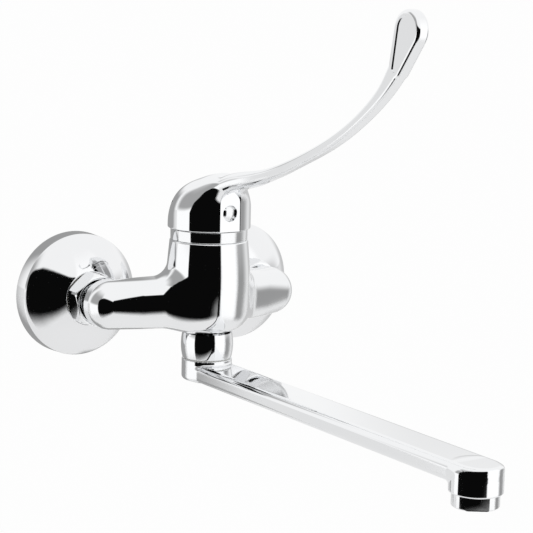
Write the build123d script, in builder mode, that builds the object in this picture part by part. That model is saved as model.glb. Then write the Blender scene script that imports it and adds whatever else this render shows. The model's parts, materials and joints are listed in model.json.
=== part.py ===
from build123d import *
import math
import os

# Wall-mounted single-lever mixer with a long elbow lever and a swivel spout.
# Millimetres. The origin lies on the wall, midway between the two inlets.
# +X is to the right, +Y goes into the wall, +Z is up. The spout and the lever point to -Y.

# Layout
inlet_spacing = 110.0
wall_outlet_spacing = 150.0
body_reach = 66.4
arm_reach = 47.5
stub_reach = 41.5
overrun = 1.0
sliding_gap = 0.05

# Body casting: barrel with two arms
arm_radius = 14.3
arm_root_radius = 15.8
arm_root_rise = 2.2
arm_blend = 5.0
barrel_mouth_z = 38.0
barrel_mouth_radius = 22.9
belly_z = 11.0
belly_radius = 24.65
flank_z = -10.0
flank_radius = 21.8
foot_z = -17.0
foot_radius = 13.5
mouth_edge = 0.5
waterway_radius = 5.0
inlet_thread_radius = 10.5
inlet_thread_depth = 6.0
socket_thread_radius = 11.5
socket_well_depth = 10.0

# Cartridge, 35 mm size
cartridge_radius = 17.5
cartridge_play = 0.1
cartridge_floor_z = 10.0
base_height = 5.0
fixed_disc_height = 3.5
moving_disc_height = 3.0
moving_disc_radius = 12.0
moving_disc_pocket = 1.2
carrier_height = 4.7
carrier_half_width = 10.15
holder_lift = 0.2
holder_height = 9.6
cheek_width = 3.8
cheek_length = 12.0
housing_wall = 1.7
housing_lip_radius = 12.0
housing_lip_height = 1.9
inlet_port_radius = 2.8
inlet_port_x = 5.2
inlet_port_forward = 7.2
gallery_x = 9.6
outlet_port_radius = 4.0
outlet_port_back = 6.0
port_seal_width = 1.3
port_seal_height = 1.6
pocket_radius = 7.0
pocket_back = 2.5

# Spindle and its pin
pivot_z = 31.0
tilt_limit = 25.0
spindle_square = 8.0
spindle_top_z = 63.5
spindle_eye_radius = 4.4
finger_length = 6.4
finger_ball_radius = 2.2
finger_neck_radius = 1.4
finger_play = 0.15
pin_radius = 2.0
pin_length = 26.0
slot_play = 0.1

# Clamping nut, cover ring and its O-ring
clamp_thread_radius = 19.5
clamp_seat_z = 30.0
clamp_lip_radius = 13.5
clamp_lip_height = 3.0
clamp_neck_radius = 18.3
clamp_notch_width = 4.0
clamp_notch_count = 4
cover_radius = 22.5
cover_height = 6.5
cover_top_thickness = 1.5
cover_opening_radius = 15.0
cover_edge = 0.6

# Lever: cap
cap_radius = 24.2
cap_wall = 1.5
cap_gap = 0.4
crown_radius = 55.4
crown_forward = 25.3
crown_z = 24.1
crown_wall = 2.4
crown_blend = 6.0
rim_edge = 0.6
ceiling_z = 61.0
panel_half_width = 6.8
panel_depth = 1.35
panel_top_z = 69.0
panel_vault = 9.4
boss_radius = 8.5
boss_bottom_z = 52.0
rib_bottom_z = 50.0
rib_half_width = 5.5
screw_z = 55.6
grub_radius = 3.0
grub_length = 10.0
grub_key = 3.0
grub_key_depth = 4.0
plug_radius = 4.7
plug_thickness = 2.2
plug_inset = 0.5
plug_dish = 0.9

# Lever: arm and paddle
blade_width = 7.2
blade_edge = 1.3
paddle_forward = 186.0
paddle_z = 166.6
paddle_radius = 10.8
recess_radius = 7.9
recess_tip_radius = 2.0
recess_depth = 0.9
root_height = 6.4

# Spout socket, spigot and rings
socket_top_radius = 14.6
socket_belly_radius = 15.4
socket_bottom_radius = 14.4
socket_height = 15.2
socket_edge = 0.8
socket_neck_length = 5.0
spigot_radius = 9.0
spigot_bore_radius = 6.5
spigot_top_gap = 2.5
seal_section = 1.5
seal_first_drop = 4.0
seal_pitch = 6.0
seal_count = 2
retainer_radius = 10.6
retainer_depth = 1.0
retainer_thickness = 0.9
retainer_lift = 0.1
retainer_gap_angle = 50.0
glide_thickness = 0.5
glide_inner_radius = 9.6
glide_outer_radius = 13.6

# Spout casting
spout_reach = 249.0
head_radius = 14.8
head_height = 12.6
head_floor = 2.3
head_chamber_radius = 7.2
head_top_step = 2.6
bar_width = 25.4
bar_top_edge = 3.8
bar_bottom_edge = 3.2
nose_reach = 13.6
nose_corner = 8.5
nose_edge = 1.6
block_radius = 13.4
block_bottom_z = -50.0
block_edge = 1.0
channel_width = 16.0
channel_height = 4.6
spigot_seat_depth = 4.8

# Aerator, M24 size
aerator_radius = 11.84
aerator_drop = 6.8
aerator_thread_radius = 11.0
aerator_thread_length = 6.0
aerator_bore_radius = 9.4
aerator_lip_radius = 8.4
aerator_lip_height = 1.5
aerator_edge = 0.7
aerator_flat_depth = 1.5
aerator_flat_angle = 34.0
aerator_washer_thickness = 2.0
aerator_washer_inner_radius = 8.8
aerator_core_height = 9.6
aerator_core_hole = 1.2
aerator_core_holes = 8
aerator_screen_thickness = 0.6

# Inlets: union nuts, tail nipples, seals, strainers
nut_across_flats = 30.0
nut_front_reach = 37.0
nut_length = 12.0
nut_chamfer_angle = 30.0
nut_turn = 19.4
nut_clearance = 0.5
nut_lip_length = 4.0
union_thread_radius = 13.2
nipple_collar_radius = 13.4
nipple_collar_length = 2.2
nipple_tube_radius = 10.2
nipple_bore_radius = 7.5
nipple_flange_radius = 12.6
nipple_flange_length = 2.5
nipple_play = 0.1
washer_thickness = 2.0
washer_inner_radius = 8.0
strainer_rim_width = 1.4
strainer_wall = 0.6
strainer_depth = 7.0
strainer_hole_radius = 0.9
strainer_hole_count = 8

# Eccentric unions and rosettes
wall_thread_radius = 10.45
wall_thread_length = 9.6
wall_bore_radius = 6.5
offset_front = 11.0
offset_back = 3.0
offset_wall = 2.0
offset_inlet_radius = 12.5
rosette_radius = 36.9
rosette_rim = 9.9
rosette_rim_draft = 0.4
rosette_neck_radius = 16.2
rosette_neck_reach = 24.0
rosette_bulge = 1.4
rosette_wall = 1.0
rosette_flange_inset = 1.6
rosette_play = 0.05

# Places that follow from the sizes above
inlet_x = inlet_spacing / 2
wall_outlet_x = wall_outlet_spacing / 2
axis_plane = Plane.XZ.offset(body_reach)
swivel_axis = Axis((0, -body_reach, 0), (0, 0, 1))
chamber_radius = cartridge_radius + cartridge_play
base_top_z = cartridge_floor_z + base_height
fixed_disc_top_z = base_top_z + fixed_disc_height
moving_disc_top_z = fixed_disc_top_z + moving_disc_height
carrier_top_z = moving_disc_top_z + carrier_height
holder_bottom_z = carrier_top_z + holder_lift
holder_top_z = holder_bottom_z + holder_height
housing_inner_radius = cartridge_radius - housing_wall
housing_top_z = holder_top_z + slot_play + housing_lip_height
clamp_top_z = housing_top_z + clamp_lip_height
cover_top_z = barrel_mouth_z + cover_height
cap_rim_z = cover_top_z + cap_gap
socket_bottom_z = foot_z - socket_height
socket_neck_top_z = foot_z + socket_neck_length
socket_well_top_z = foot_z + socket_well_depth
head_top_z = socket_bottom_z - glide_thickness
head_bottom_z = head_top_z - head_height
bar_top_z = head_top_z - head_top_step
aerator_y = -body_reach - spout_reach
nut_corner_radius = nut_across_flats / 2 / math.cos(math.pi / 6)
aerator_bottom_z = block_bottom_z - aerator_drop
sides = (("left", -1), ("right", 1))

os.makedirs("parts", exist_ok=True)


def keep(builder, name):
    """Label a finished piece and write it."""
    builder.part.label = name
    export_step(builder.part, f"parts/{name}.step")


def outline(*points):
    """Closed face through the points, in the sketch that is open."""
    with BuildLine() as border:
        Polyline(*points, close=True)
    make_face(border.edges())


def disc(z, radius, height, mode=Mode.ADD, shift=(0, 0)):
    """Upright cylinder on the swivel axis, from z upwards by height."""
    with BuildSketch(Plane.XY.offset(z)) as profile:
        with Locations((shift[0], shift[1] - body_reach)):
            Circle(radius)
    extrude(profile.sketch, amount=height, mode=mode)


def ring(z, outer, inner, height):
    """Flat ring on the swivel axis, from z upwards by height."""
    with BuildSketch(Plane.XY.offset(z)) as profile:
        with Locations((0, -body_reach)):
            Circle(outer)
            Circle(inner, mode=Mode.SUBTRACT)
    extrude(profile.sketch, amount=height)


def tube(x, y, outer, length, inner=0, mode=Mode.ADD):
    """Cylinder along Y on an inlet's axis, from y towards the wall by length."""
    with BuildSketch(Plane.XZ.offset(-y)) as profile:
        with Locations((x, 0)):
            Circle(outer)
            if inner:
                Circle(inner, mode=Mode.SUBTRACT)
    extrude(profile.sketch, amount=-length, mode=mode)


# Body casting
with BuildPart() as tap_body:
    with BuildSketch(axis_plane):
        with BuildLine():
            foot_line = Line((0, foot_z), (foot_radius, foot_z))
            flank = Spline(
                foot_line @ 1,
                (flank_radius, flank_z),
                (belly_radius, belly_z),
                (barrel_mouth_radius, barrel_mouth_z),
                tangents=((1, 0), (-(belly_radius - barrel_mouth_radius), belly_z)),
            )
            Polyline(flank @ 1, (0, barrel_mouth_z), foot_line @ 0)
        make_face()
    revolve(axis=swivel_axis)
    for _, sign in sides:
        root = Vector(0, -body_reach, arm_root_rise)
        elbow = Vector(sign * inlet_x, -arm_reach, 0)
        arm_plane = Plane(origin=root, z_dir=elbow - root)
        with BuildSketch(arm_plane):
            Circle(arm_root_radius)
        with BuildSketch(arm_plane.offset((elbow - root).length)):
            Circle(arm_radius)
        loft()
    meeting = [e for e in tap_body.edges() if e.geom_type not in (GeomType.CIRCLE, GeomType.LINE)]
    blend = [e for e in meeting if abs(e.center().X) < belly_radius and e.length > arm_radius]
    fillet(blend, radius=arm_blend)
    with Locations(*[(sign * inlet_x, -arm_reach, 0) for _, sign in sides]):
        Sphere(arm_radius)
    for _, sign in sides:
        tube(sign * inlet_x, -arm_reach, arm_radius, arm_reach - stub_reach)
        tube(sign * inlet_x, -stub_reach, arm_radius, arm_radius, mode=Mode.SUBTRACT)
        relief_y = -nut_front_reach - nut_clearance
        relief_radius = nut_corner_radius + nut_clearance
        tube(sign * inlet_x, relief_y, relief_radius, arm_radius, mode=Mode.SUBTRACT)
    mouth = tap_body.edges().filter_by(GeomType.CIRCLE).sort_by(Axis.Z)[-1]
    chamfer(mouth, length=mouth_edge)
    disc(cartridge_floor_z, chamber_radius, barrel_mouth_z, Mode.SUBTRACT)
    disc(clamp_seat_z, clamp_thread_radius, barrel_mouth_z, Mode.SUBTRACT)
    disc(foot_z - overrun, socket_thread_radius, socket_well_depth + overrun, Mode.SUBTRACT)
    outlet_rise = cartridge_floor_z - socket_well_top_z + overrun
    disc(
        cartridge_floor_z - outlet_rise,
        outlet_port_radius,
        outlet_rise + overrun,
        Mode.SUBTRACT,
        (0, outlet_port_back),
    )
    gallery_y = -body_reach - inlet_port_forward
    for _, sign in sides:
        elbow = Vector(sign * inlet_x, -arm_reach, 0)
        waterway = (Vector(0, -body_reach, 0) - elbow) * (1 - gallery_x / inlet_x)
        with BuildSketch(Plane(origin=elbow, z_dir=waterway)):
            Circle(waterway_radius)
        extrude(amount=waterway.length, mode=Mode.SUBTRACT)
        gallery = (elbow + waterway).Y - gallery_y
        tube(sign * gallery_x, gallery_y, inlet_port_radius, gallery, mode=Mode.SUBTRACT)
        with BuildSketch(Plane.YZ.offset(sign * inlet_port_x)):
            with Locations((gallery_y, 0)):
                Circle(inlet_port_radius)
        extrude(amount=sign * (gallery_x - inlet_port_x), mode=Mode.SUBTRACT)
        disc(
            0,
            inlet_port_radius,
            cartridge_floor_z + overrun,
            Mode.SUBTRACT,
            (sign * inlet_port_x, -inlet_port_forward),
        )
        elbow_bore = arm_reach - stub_reach
        tube(sign * inlet_x, -arm_reach, nipple_bore_radius, elbow_bore, mode=Mode.SUBTRACT)
        tube(
            sign * inlet_x,
            -stub_reach - inlet_thread_depth,
            inlet_thread_radius,
            inlet_thread_depth + overrun,
            mode=Mode.SUBTRACT,
        )
keep(tap_body, "tap_body")

# Cartridge: foot, seals, two ceramic discs, shell
inlet_ports = [(sign * inlet_port_x, -inlet_port_forward) for _, sign in sides]
ports = [(place, inlet_port_radius) for place in inlet_ports]
ports.append(((0, outlet_port_back), outlet_port_radius))

with BuildPart() as cartridge_base:
    disc(cartridge_floor_z, cartridge_radius, base_height)
    for place, radius in ports:
        disc(cartridge_floor_z, radius, base_height, Mode.SUBTRACT, place)
        disc(cartridge_floor_z, radius + port_seal_width, port_seal_height, Mode.SUBTRACT, place)
keep(cartridge_base, "cartridge_base")

with BuildPart() as port_seals:
    for place, radius in ports:
        with BuildSketch(Plane.XY.offset(cartridge_floor_z)):
            with Locations((place[0], place[1] - body_reach)):
                Circle(radius + port_seal_width)
                Circle(radius, mode=Mode.SUBTRACT)
        extrude(amount=port_seal_height)
keep(port_seals, "port_seals")

with BuildPart() as fixed_disc:
    disc(base_top_z, housing_inner_radius, fixed_disc_height)
    for place, radius in ports:
        disc(base_top_z, radius, fixed_disc_height, Mode.SUBTRACT, place)
keep(fixed_disc, "fixed_disc")

with BuildPart() as moving_disc:
    disc(fixed_disc_top_z, moving_disc_radius, moving_disc_height)
    disc(fixed_disc_top_z, pocket_radius, moving_disc_pocket, Mode.SUBTRACT, (0, pocket_back))
keep(moving_disc, "moving_disc")

finger_z = pivot_z - finger_length
with BuildPart() as disc_carrier:
    disc(moving_disc_top_z, moving_disc_radius, carrier_height)
    with BuildSketch(Plane.XY.offset(moving_disc_top_z)):
        with Locations((0, -body_reach)):
            Rectangle(2 * carrier_half_width, 2 * moving_disc_radius)
    extrude(amount=carrier_height, mode=Mode.INTERSECT)
    pocket_z = finger_z - finger_ball_radius - finger_play
    with BuildSketch(Plane.XY.offset(pocket_z)):
        with Locations((0, -body_reach)):
            Rectangle(2 * (finger_ball_radius + slot_play), 2 * (finger_ball_radius + finger_play))
    extrude(amount=carrier_top_z - pocket_z, mode=Mode.SUBTRACT)
keep(disc_carrier, "disc_carrier")

tilt = math.radians(tilt_limit)
slot_front = spindle_eye_radius + finger_play
stem_rise = holder_top_z - pivot_z
slot_back = stem_rise * math.tan(tilt) + spindle_square / 2 / math.cos(tilt) + finger_play
with BuildPart() as spindle_holder:
    disc(holder_bottom_z, housing_inner_radius - sliding_gap, holder_height)
    cheek_x = carrier_half_width + sliding_gap + cheek_width / 2
    with BuildSketch(Plane.XY.offset(moving_disc_top_z + holder_lift)):
        with Locations((-cheek_x, -body_reach), (cheek_x, -body_reach)):
            Rectangle(cheek_width, cheek_length)
    extrude(amount=carrier_height)
    with BuildSketch(Plane.XY.offset(holder_bottom_z)):
        with Locations((0, (slot_back - slot_front) / 2 - body_reach)):
            Rectangle(spindle_square + 2 * slot_play, slot_back + slot_front)
    extrude(amount=holder_height, mode=Mode.SUBTRACT)
    with BuildSketch(Plane.YZ):
        with Locations((-body_reach, pivot_z)):
            Circle(pin_radius)
    extrude(amount=cartridge_radius, both=True, mode=Mode.SUBTRACT)
keep(spindle_holder, "spindle_holder")

with BuildPart() as cartridge_housing:
    disc(base_top_z, cartridge_radius, housing_top_z - base_top_z)
    inner_height = housing_top_z - housing_lip_height - base_top_z
    disc(base_top_z, housing_inner_radius, inner_height, Mode.SUBTRACT)
    disc(base_top_z, housing_lip_radius, housing_top_z - base_top_z, Mode.SUBTRACT)
keep(cartridge_housing, "cartridge_housing")

# Spindle with its ball finger, and the pin it tilts on
with BuildPart() as spindle:
    with BuildSketch(Plane.XY.offset(pivot_z)):
        with Locations((0, -body_reach)):
            Rectangle(spindle_square, spindle_square)
    extrude(amount=spindle_top_z - pivot_z)
    with BuildSketch(Plane.YZ):
        with Locations((-body_reach, pivot_z)):
            Circle(spindle_eye_radius)
    extrude(amount=spindle_square / 2, both=True)
    disc(finger_z, finger_neck_radius, finger_length)
    with Locations((0, -body_reach, finger_z)):
        Sphere(finger_ball_radius)
    with BuildSketch(Plane.YZ):
        with Locations((-body_reach, pivot_z)):
            Circle(pin_radius + sliding_gap)
    extrude(amount=spindle_square, both=True, mode=Mode.SUBTRACT)
keep(spindle, "spindle")

with BuildPart() as spindle_pin:
    with BuildSketch(Plane.YZ):
        with Locations((-body_reach, pivot_z)):
            Circle(pin_radius)
    extrude(amount=pin_length / 2, both=True)
keep(spindle_pin, "spindle_pin")

# Clamping nut of the cartridge, with spanner notches
with BuildPart() as cartridge_nut:
    disc(clamp_seat_z, clamp_thread_radius, barrel_mouth_z - clamp_seat_z)
    disc(barrel_mouth_z, clamp_neck_radius, clamp_top_z - barrel_mouth_z)
    disc(clamp_seat_z, chamber_radius, housing_top_z - clamp_seat_z, Mode.SUBTRACT)
    disc(clamp_seat_z, clamp_lip_radius, clamp_top_z - clamp_seat_z, Mode.SUBTRACT)
    with BuildSketch(Plane.XY.offset(clamp_top_z)):
        with Locations((0, -body_reach)):
            with PolarLocations(clamp_lip_radius, clamp_notch_count):
                Rectangle(clamp_notch_width, clamp_notch_width)
    extrude(amount=-clamp_lip_height / 2, mode=Mode.SUBTRACT)
keep(cartridge_nut, "cartridge_nut")

# O-ring on the nut and the cover ring that snaps over it
o_ring_section = (clamp_thread_radius - clamp_neck_radius) / 2
with BuildPart() as cover_ring_seal:
    with BuildSketch(axis_plane):
        with Locations((clamp_neck_radius + o_ring_section, barrel_mouth_z + 2 * o_ring_section)):
            Circle(o_ring_section)
    revolve(axis=swivel_axis)
keep(cover_ring_seal, "cover_ring_seal")

with BuildPart() as cover_ring:
    disc(barrel_mouth_z, cover_radius, cover_height)
    rims = cover_ring.edges().filter_by(GeomType.CIRCLE)
    chamfer(rims.sort_by(Axis.Z)[0], length=cover_edge)
    disc(barrel_mouth_z, clamp_thread_radius, cover_height - cover_top_thickness, Mode.SUBTRACT)
    disc(barrel_mouth_z, cover_opening_radius, cover_height, Mode.SUBTRACT)
keep(cover_ring, "cover_ring")

# Lever: cap with a crowned top, root that narrows to the arm, arm blade with its paddle
# Places along the arm as shares of the paddle's distance in front of the axis and above the rim
top_edge_shares = ((0.535, 0.442), (0.659, 0.527), (0.767, 0.620), (0.845, 0.710), (0.902, 0.804))
shoulder_share = (0.922, 0.852)
low_edge_shares = (
    (0.988, 0.846),
    (0.947, 0.777),
    (0.836, 0.636),
    (0.727, 0.530),
    (0.619, 0.447),
    (0.493, 0.367),
)
root_share = (0.4194, 0.3484)
recess_tip_share = (0.947, 0.844)
paddle_rise = paddle_z - cap_rim_z
paddle_y = -body_reach - paddle_forward


def arm_place(share):
    """Point in the lever's plane, from shares of the paddle's reach and rise."""
    return (-body_reach - share[0] * paddle_forward, cap_rim_z + share[1] * paddle_rise)


# Root sections: distance forward as a share of the root's length, width as a share of the cap's
# radius, height as a share of the paddle's radius, and middle as a share of the paddle's rise
root_section_shares = (
    (0.14, 0.64, 0.66, 0.193),
    (0.33, 0.45, 0.60, 0.235),
    (0.54, 0.29, 0.51, 0.260),
    (0.77, 0.20, 0.37, 0.299),
)
blade_start_share = 0.70
blade_start_height_share = 0.300

root_y, root_z = arm_place(root_share)
root_forward = -body_reach - root_y
with BuildPart() as arm_blade:
    with BuildSketch(Plane.YZ):
        with BuildLine():
            start_y = -body_reach - blade_start_share * root_forward
            start_z = cap_rim_z + blade_start_height_share * paddle_rise
            start = Line((start_y, start_z), (start_y, start_z + root_height / 2))
            top_edge = Spline(
                start @ 1,
                (root_y, root_z + root_height / 2),
                *[arm_place(s) for s in top_edge_shares],
                arm_place(shoulder_share),
            )
            side = Line(top_edge @ 1, (paddle_y + paddle_radius, paddle_z))
            tip = ThreePointArc(
                side @ 1, (paddle_y, paddle_z + paddle_radius), (paddle_y - paddle_radius, paddle_z)
            )
            low_edge = Spline(
                tip @ 1,
                *[arm_place(s) for s in low_edge_shares],
                (root_y, root_z - root_height / 2),
                (start_y, start_z - root_height / 2),
            )
            Line(low_edge @ 1, start @ 0)
        make_face()
    extrude(amount=blade_width / 2, both=True)
    flat_sides = arm_blade.faces().filter_by(Axis.X)
    start_face = arm_blade.faces().sort_by(Axis.Y)[-1]
    long_edges = [e for e in flat_sides.edges() if e not in start_face.edges()]
    fillet(long_edges, radius=blade_edge)

# Room under the cap, around the boss and the rib that carry the spindle and the screw
front_reach = cap_radius - panel_depth - cap_wall
with BuildPart() as cap_cavity:
    disc(cap_rim_z, cap_radius - cap_wall, ceiling_z - cap_rim_z)
    with Locations((0, -body_reach - crown_forward, crown_z)):
        Sphere(crown_radius - crown_wall, mode=Mode.INTERSECT)
    with BuildSketch(Plane.XZ.offset(body_reach + front_reach)):
        with Locations((0, cap_rim_z)):
            wall_width = 2 * (panel_half_width + cap_wall)
            Rectangle(wall_width, paddle_rise, align=(Align.CENTER, Align.MIN))
    extrude(amount=cap_radius, mode=Mode.SUBTRACT)
    with BuildSketch(Plane.XY.offset(boss_bottom_z)):
        with Locations((0, -body_reach)):
            Circle(boss_radius)
    extrude(amount=cap_radius, mode=Mode.SUBTRACT)
    with BuildSketch(Plane.XY.offset(rib_bottom_z)):
        with Locations((0, -body_reach - boss_radius / 2)):
            Rectangle(2 * rib_half_width, cap_radius, align=(Align.CENTER, Align.MAX))
    extrude(amount=cap_radius, mode=Mode.SUBTRACT)

with BuildPart() as lever:
    disc(cap_rim_z, cap_radius, crown_z + crown_radius - cap_rim_z)
    with Locations((0, -body_reach - crown_forward, crown_z)):
        Sphere(crown_radius, mode=Mode.INTERSECT)
    crown_rim = lever.edges().filter_by_position(Axis.Z, cap_rim_z + overrun, paddle_z)
    fillet(crown_rim, radius=crown_blend)
    rim = lever.edges().filter_by(GeomType.CIRCLE).sort_by(Axis.Z)[0]
    chamfer(rim, length=rim_edge)
    add(cap_cavity.part, mode=Mode.SUBTRACT)
    with BuildSketch(Plane.XY.offset(boss_bottom_z)):
        with Locations((0, -body_reach)):
            Rectangle(spindle_square + 2 * sliding_gap, spindle_square + 2 * sliding_gap)
    extrude(amount=spindle_top_z + slot_play - boss_bottom_z, mode=Mode.SUBTRACT)
    for share in root_section_shares:
        with BuildSketch(Plane.XZ.offset(body_reach + share[0] * root_forward)):
            with Locations((0, cap_rim_z + share[3] * paddle_rise)):
                Ellipse(share[1] * cap_radius, share[2] * paddle_radius)
    with BuildSketch(Plane.XZ.offset(-root_y)):
        with Locations((0, root_z)):
            Ellipse(blade_width / 2 - sliding_gap, root_height / 2 - sliding_gap)
    loft()
    add(arm_blade.part)
    # Flat arched panel on the cap's front, which also vaults the root's underside
    with BuildSketch(Plane.XZ.offset(body_reach + cap_radius + panel_vault)):
        with Locations((0, panel_top_z - panel_half_width)):
            Circle(panel_half_width)
        outline(
            (-panel_half_width, cap_rim_z - overrun),
            (panel_half_width, cap_rim_z - overrun),
            (panel_half_width, panel_top_z - panel_half_width),
            (-panel_half_width, panel_top_z - panel_half_width),
        )
    extrude(amount=-panel_vault - panel_depth, mode=Mode.SUBTRACT)
    # Screw hole, with a wide mouth for the plug
    panel_y = body_reach + cap_radius - panel_depth
    with BuildSketch(Plane.XZ.offset(panel_y)):
        with Locations((0, screw_z)):
            Circle(grub_radius)
    extrude(amount=-(panel_y - body_reach), mode=Mode.SUBTRACT)
    with BuildSketch(Plane.XZ.offset(panel_y + overrun)):
        with Locations((0, screw_z)):
            Circle(plug_radius)
    extrude(amount=-(overrun + plug_inset + plug_thickness), mode=Mode.SUBTRACT)
    # Teardrop recesses on both faces of the paddle
    for _, sign in sides:
        recess_plane = Plane.YZ.offset(sign * (blade_width / 2 - recess_depth))
        with BuildSketch(recess_plane) as drop:
            with Locations((paddle_y, paddle_z)):
                Circle(recess_radius)
            with Locations(arm_place(recess_tip_share)):
                Circle(recess_tip_radius)
            make_hull(drop.edges())
        extrude(amount=sign * (recess_depth + overrun), mode=Mode.SUBTRACT)
keep(lever, "lever")

screw_plane = Plane.XZ.offset(body_reach + spindle_square / 2 + sliding_gap)
with BuildPart() as grub_screw:
    with BuildSketch(screw_plane):
        with Locations((0, screw_z)):
            Circle(grub_radius)
    extrude(amount=grub_length)
    with BuildSketch(screw_plane.offset(grub_length)):
        with Locations((0, screw_z)):
            RegularPolygon(grub_key / 2, 6, major_radius=False)
    extrude(amount=-grub_key_depth, mode=Mode.SUBTRACT)
keep(grub_screw, "grub_screw")

plug_face = panel_y - plug_inset
dish_radius = (plug_radius**2 + plug_dish**2) / (2 * plug_dish)
with BuildPart() as screw_plug:
    with BuildSketch(Plane.XZ.offset(plug_face)):
        with Locations((0, screw_z)):
            Circle(plug_radius)
    extrude(amount=-plug_thickness)
    with Locations((0, -plug_face - dish_radius + plug_dish, screw_z)):
        Sphere(dish_radius, mode=Mode.SUBTRACT)
keep(screw_plug, "screw_plug")

# Spout socket, screwed into the body's foot
with BuildPart() as spout_socket:
    with BuildSketch(axis_plane):
        with BuildLine():
            barrel = ThreePointArc(
                (socket_bottom_radius, socket_bottom_z),
                (socket_belly_radius, foot_z - socket_height / 2),
                (socket_top_radius, foot_z),
            )
            Polyline(
                barrel @ 1,
                (socket_thread_radius, foot_z),
                (socket_thread_radius, socket_neck_top_z),
                (spigot_radius + sliding_gap, socket_neck_top_z),
                (spigot_radius + sliding_gap, socket_bottom_z),
                barrel @ 0,
            )
        make_face()
    revolve(axis=swivel_axis)
    lower = spout_socket.edges().filter_by(GeomType.CIRCLE).group_by(Axis.Z)[0].sort_by(SortBy.RADIUS)
    fillet(lower[-1], radius=socket_edge)
keep(spout_socket, "spout_socket")

with BuildPart() as glide_ring:
    ring(head_top_z, glide_outer_radius, glide_inner_radius, glide_thickness)
keep(glide_ring, "glide_ring")

spigot_bottom_z = head_top_z - spigot_seat_depth
spigot_top_z = socket_well_top_z - spigot_top_gap
retainer_z = socket_neck_top_z + retainer_lift
seal_places = [foot_z - seal_first_drop - n * seal_pitch for n in range(seal_count)]
with BuildPart() as spout_spigot:
    ring(spigot_bottom_z, spigot_radius, spigot_bore_radius, spigot_top_z - spigot_bottom_z)
    with BuildSketch(axis_plane):
        for z in seal_places:
            with Locations((spigot_radius - seal_section / 2, z)):
                Rectangle(seal_section, seal_section)
        with Locations((spigot_radius, retainer_z + retainer_thickness / 2)):
            Rectangle(2 * retainer_depth, retainer_thickness)
    revolve(axis=swivel_axis, mode=Mode.SUBTRACT)
keep(spout_spigot, "spout_spigot")

with BuildPart() as spout_seals:
    with BuildSketch(axis_plane):
        for z in seal_places:
            with Locations((spigot_radius - seal_section / 2, z)):
                Circle(seal_section / 2)
    revolve(axis=swivel_axis)
keep(spout_seals, "spout_seals")

with BuildPart() as retaining_ring:
    with BuildSketch(axis_plane):
        with Locations(((spigot_radius - retainer_depth + retainer_radius) / 2, retainer_z)):
            Rectangle(
                retainer_radius - spigot_radius + retainer_depth,
                retainer_thickness,
                align=(Align.CENTER, Align.MIN),
            )
    revolve(axis=swivel_axis, revolution_arc=360 - retainer_gap_angle)
keep(retaining_ring, "retaining_ring")

# Spout casting: round head, straight bar, end block with a rounded nose
bar_height = bar_top_z - head_bottom_z
with BuildPart() as spout:
    with BuildSketch(Plane.XY.offset(head_bottom_z)):
        with Locations((0, (aerator_y - nose_reach - body_reach) / 2)):
            Rectangle(bar_width, -aerator_y + nose_reach - body_reach)
        nose = vertices().group_by(Axis.Y)[0]
        fillet(nose, radius=nose_corner)
    extrude(amount=bar_height)
    with BuildSketch(Plane.XZ.offset(body_reach)):
        with Locations((0, head_bottom_z + bar_height / 2)):
            Rectangle(bar_width, bar_height)
        fillet(vertices().group_by(Axis.Z)[-1], radius=bar_top_edge)
        fillet(vertices().group_by(Axis.Z)[0], radius=bar_bottom_edge)
    extrude(amount=-aerator_y + nose_reach - body_reach, mode=Mode.INTERSECT)
    disc(head_bottom_z, head_radius, head_height)
    with BuildSketch(Plane.XY.offset(block_bottom_z)):
        with Locations((0, aerator_y)):
            Circle(block_radius)
        with Locations((0, aerator_y - nose_reach / 2)):
            Rectangle(bar_width, nose_reach)
        fillet(vertices().group_by(Axis.Y)[0], radius=nose_corner)
    extrude(amount=bar_top_z - block_bottom_z - nose_edge)
    low_rim = [e for e in spout.edges() if abs(e.center().Z - block_bottom_z) < block_edge / 2]
    fillet(low_rim, radius=block_edge)
    # Waterway from the spigot's seat to the aerator's thread
    spigot_seat_z = head_top_z - spigot_seat_depth
    chamber_z = head_bottom_z + head_floor
    disc(spigot_seat_z, spigot_radius, spigot_seat_depth + overrun, Mode.SUBTRACT)
    disc(chamber_z, head_chamber_radius, head_top_z - chamber_z, Mode.SUBTRACT)
    with BuildSketch(axis_plane):
        with Locations((0, chamber_z)):
            Rectangle(channel_width, channel_height, align=(Align.CENTER, Align.MIN))
    extrude(amount=spout_reach, mode=Mode.SUBTRACT)
    thread_depth = aerator_thread_length + aerator_washer_thickness
    disc(
        block_bottom_z - overrun,
        aerator_thread_radius,
        thread_depth + overrun,
        Mode.SUBTRACT,
        (0, -spout_reach),
    )
    disc(
        block_bottom_z,
        aerator_washer_inner_radius,
        chamber_z + channel_height - block_bottom_z,
        Mode.SUBTRACT,
        (0, -spout_reach),
    )
keep(spout, "spout")

# Aerator
aerator_shift = (0, -spout_reach)
with BuildPart() as aerator_housing:
    disc(aerator_bottom_z, aerator_radius, aerator_drop, shift=aerator_shift)
    flat_reach = aerator_radius - aerator_flat_depth / 2
    with BuildSketch(Plane.XY.offset(aerator_bottom_z)):
        with Locations((0, aerator_y)):
            for angle in (90 - aerator_flat_angle, 270 - aerator_flat_angle):
                turned = Location((0, 0, 0), (0, 0, 1), angle)
                with Locations(turned):
                    with Locations((flat_reach, 0)):
                        Rectangle(aerator_flat_depth, 2 * aerator_radius)
    extrude(amount=aerator_drop, mode=Mode.SUBTRACT)
    fillet(aerator_housing.edges().group_by(Axis.Z)[0], radius=aerator_edge)
    disc(block_bottom_z, aerator_thread_radius, aerator_thread_length, shift=aerator_shift)
    disc(aerator_bottom_z, aerator_lip_radius, aerator_drop, Mode.SUBTRACT, aerator_shift)
    bore_height = aerator_drop + aerator_thread_length - aerator_lip_height
    disc(
        aerator_bottom_z + aerator_lip_height,
        aerator_bore_radius,
        bore_height,
        Mode.SUBTRACT,
        aerator_shift,
    )
keep(aerator_housing, "aerator_housing")

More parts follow.
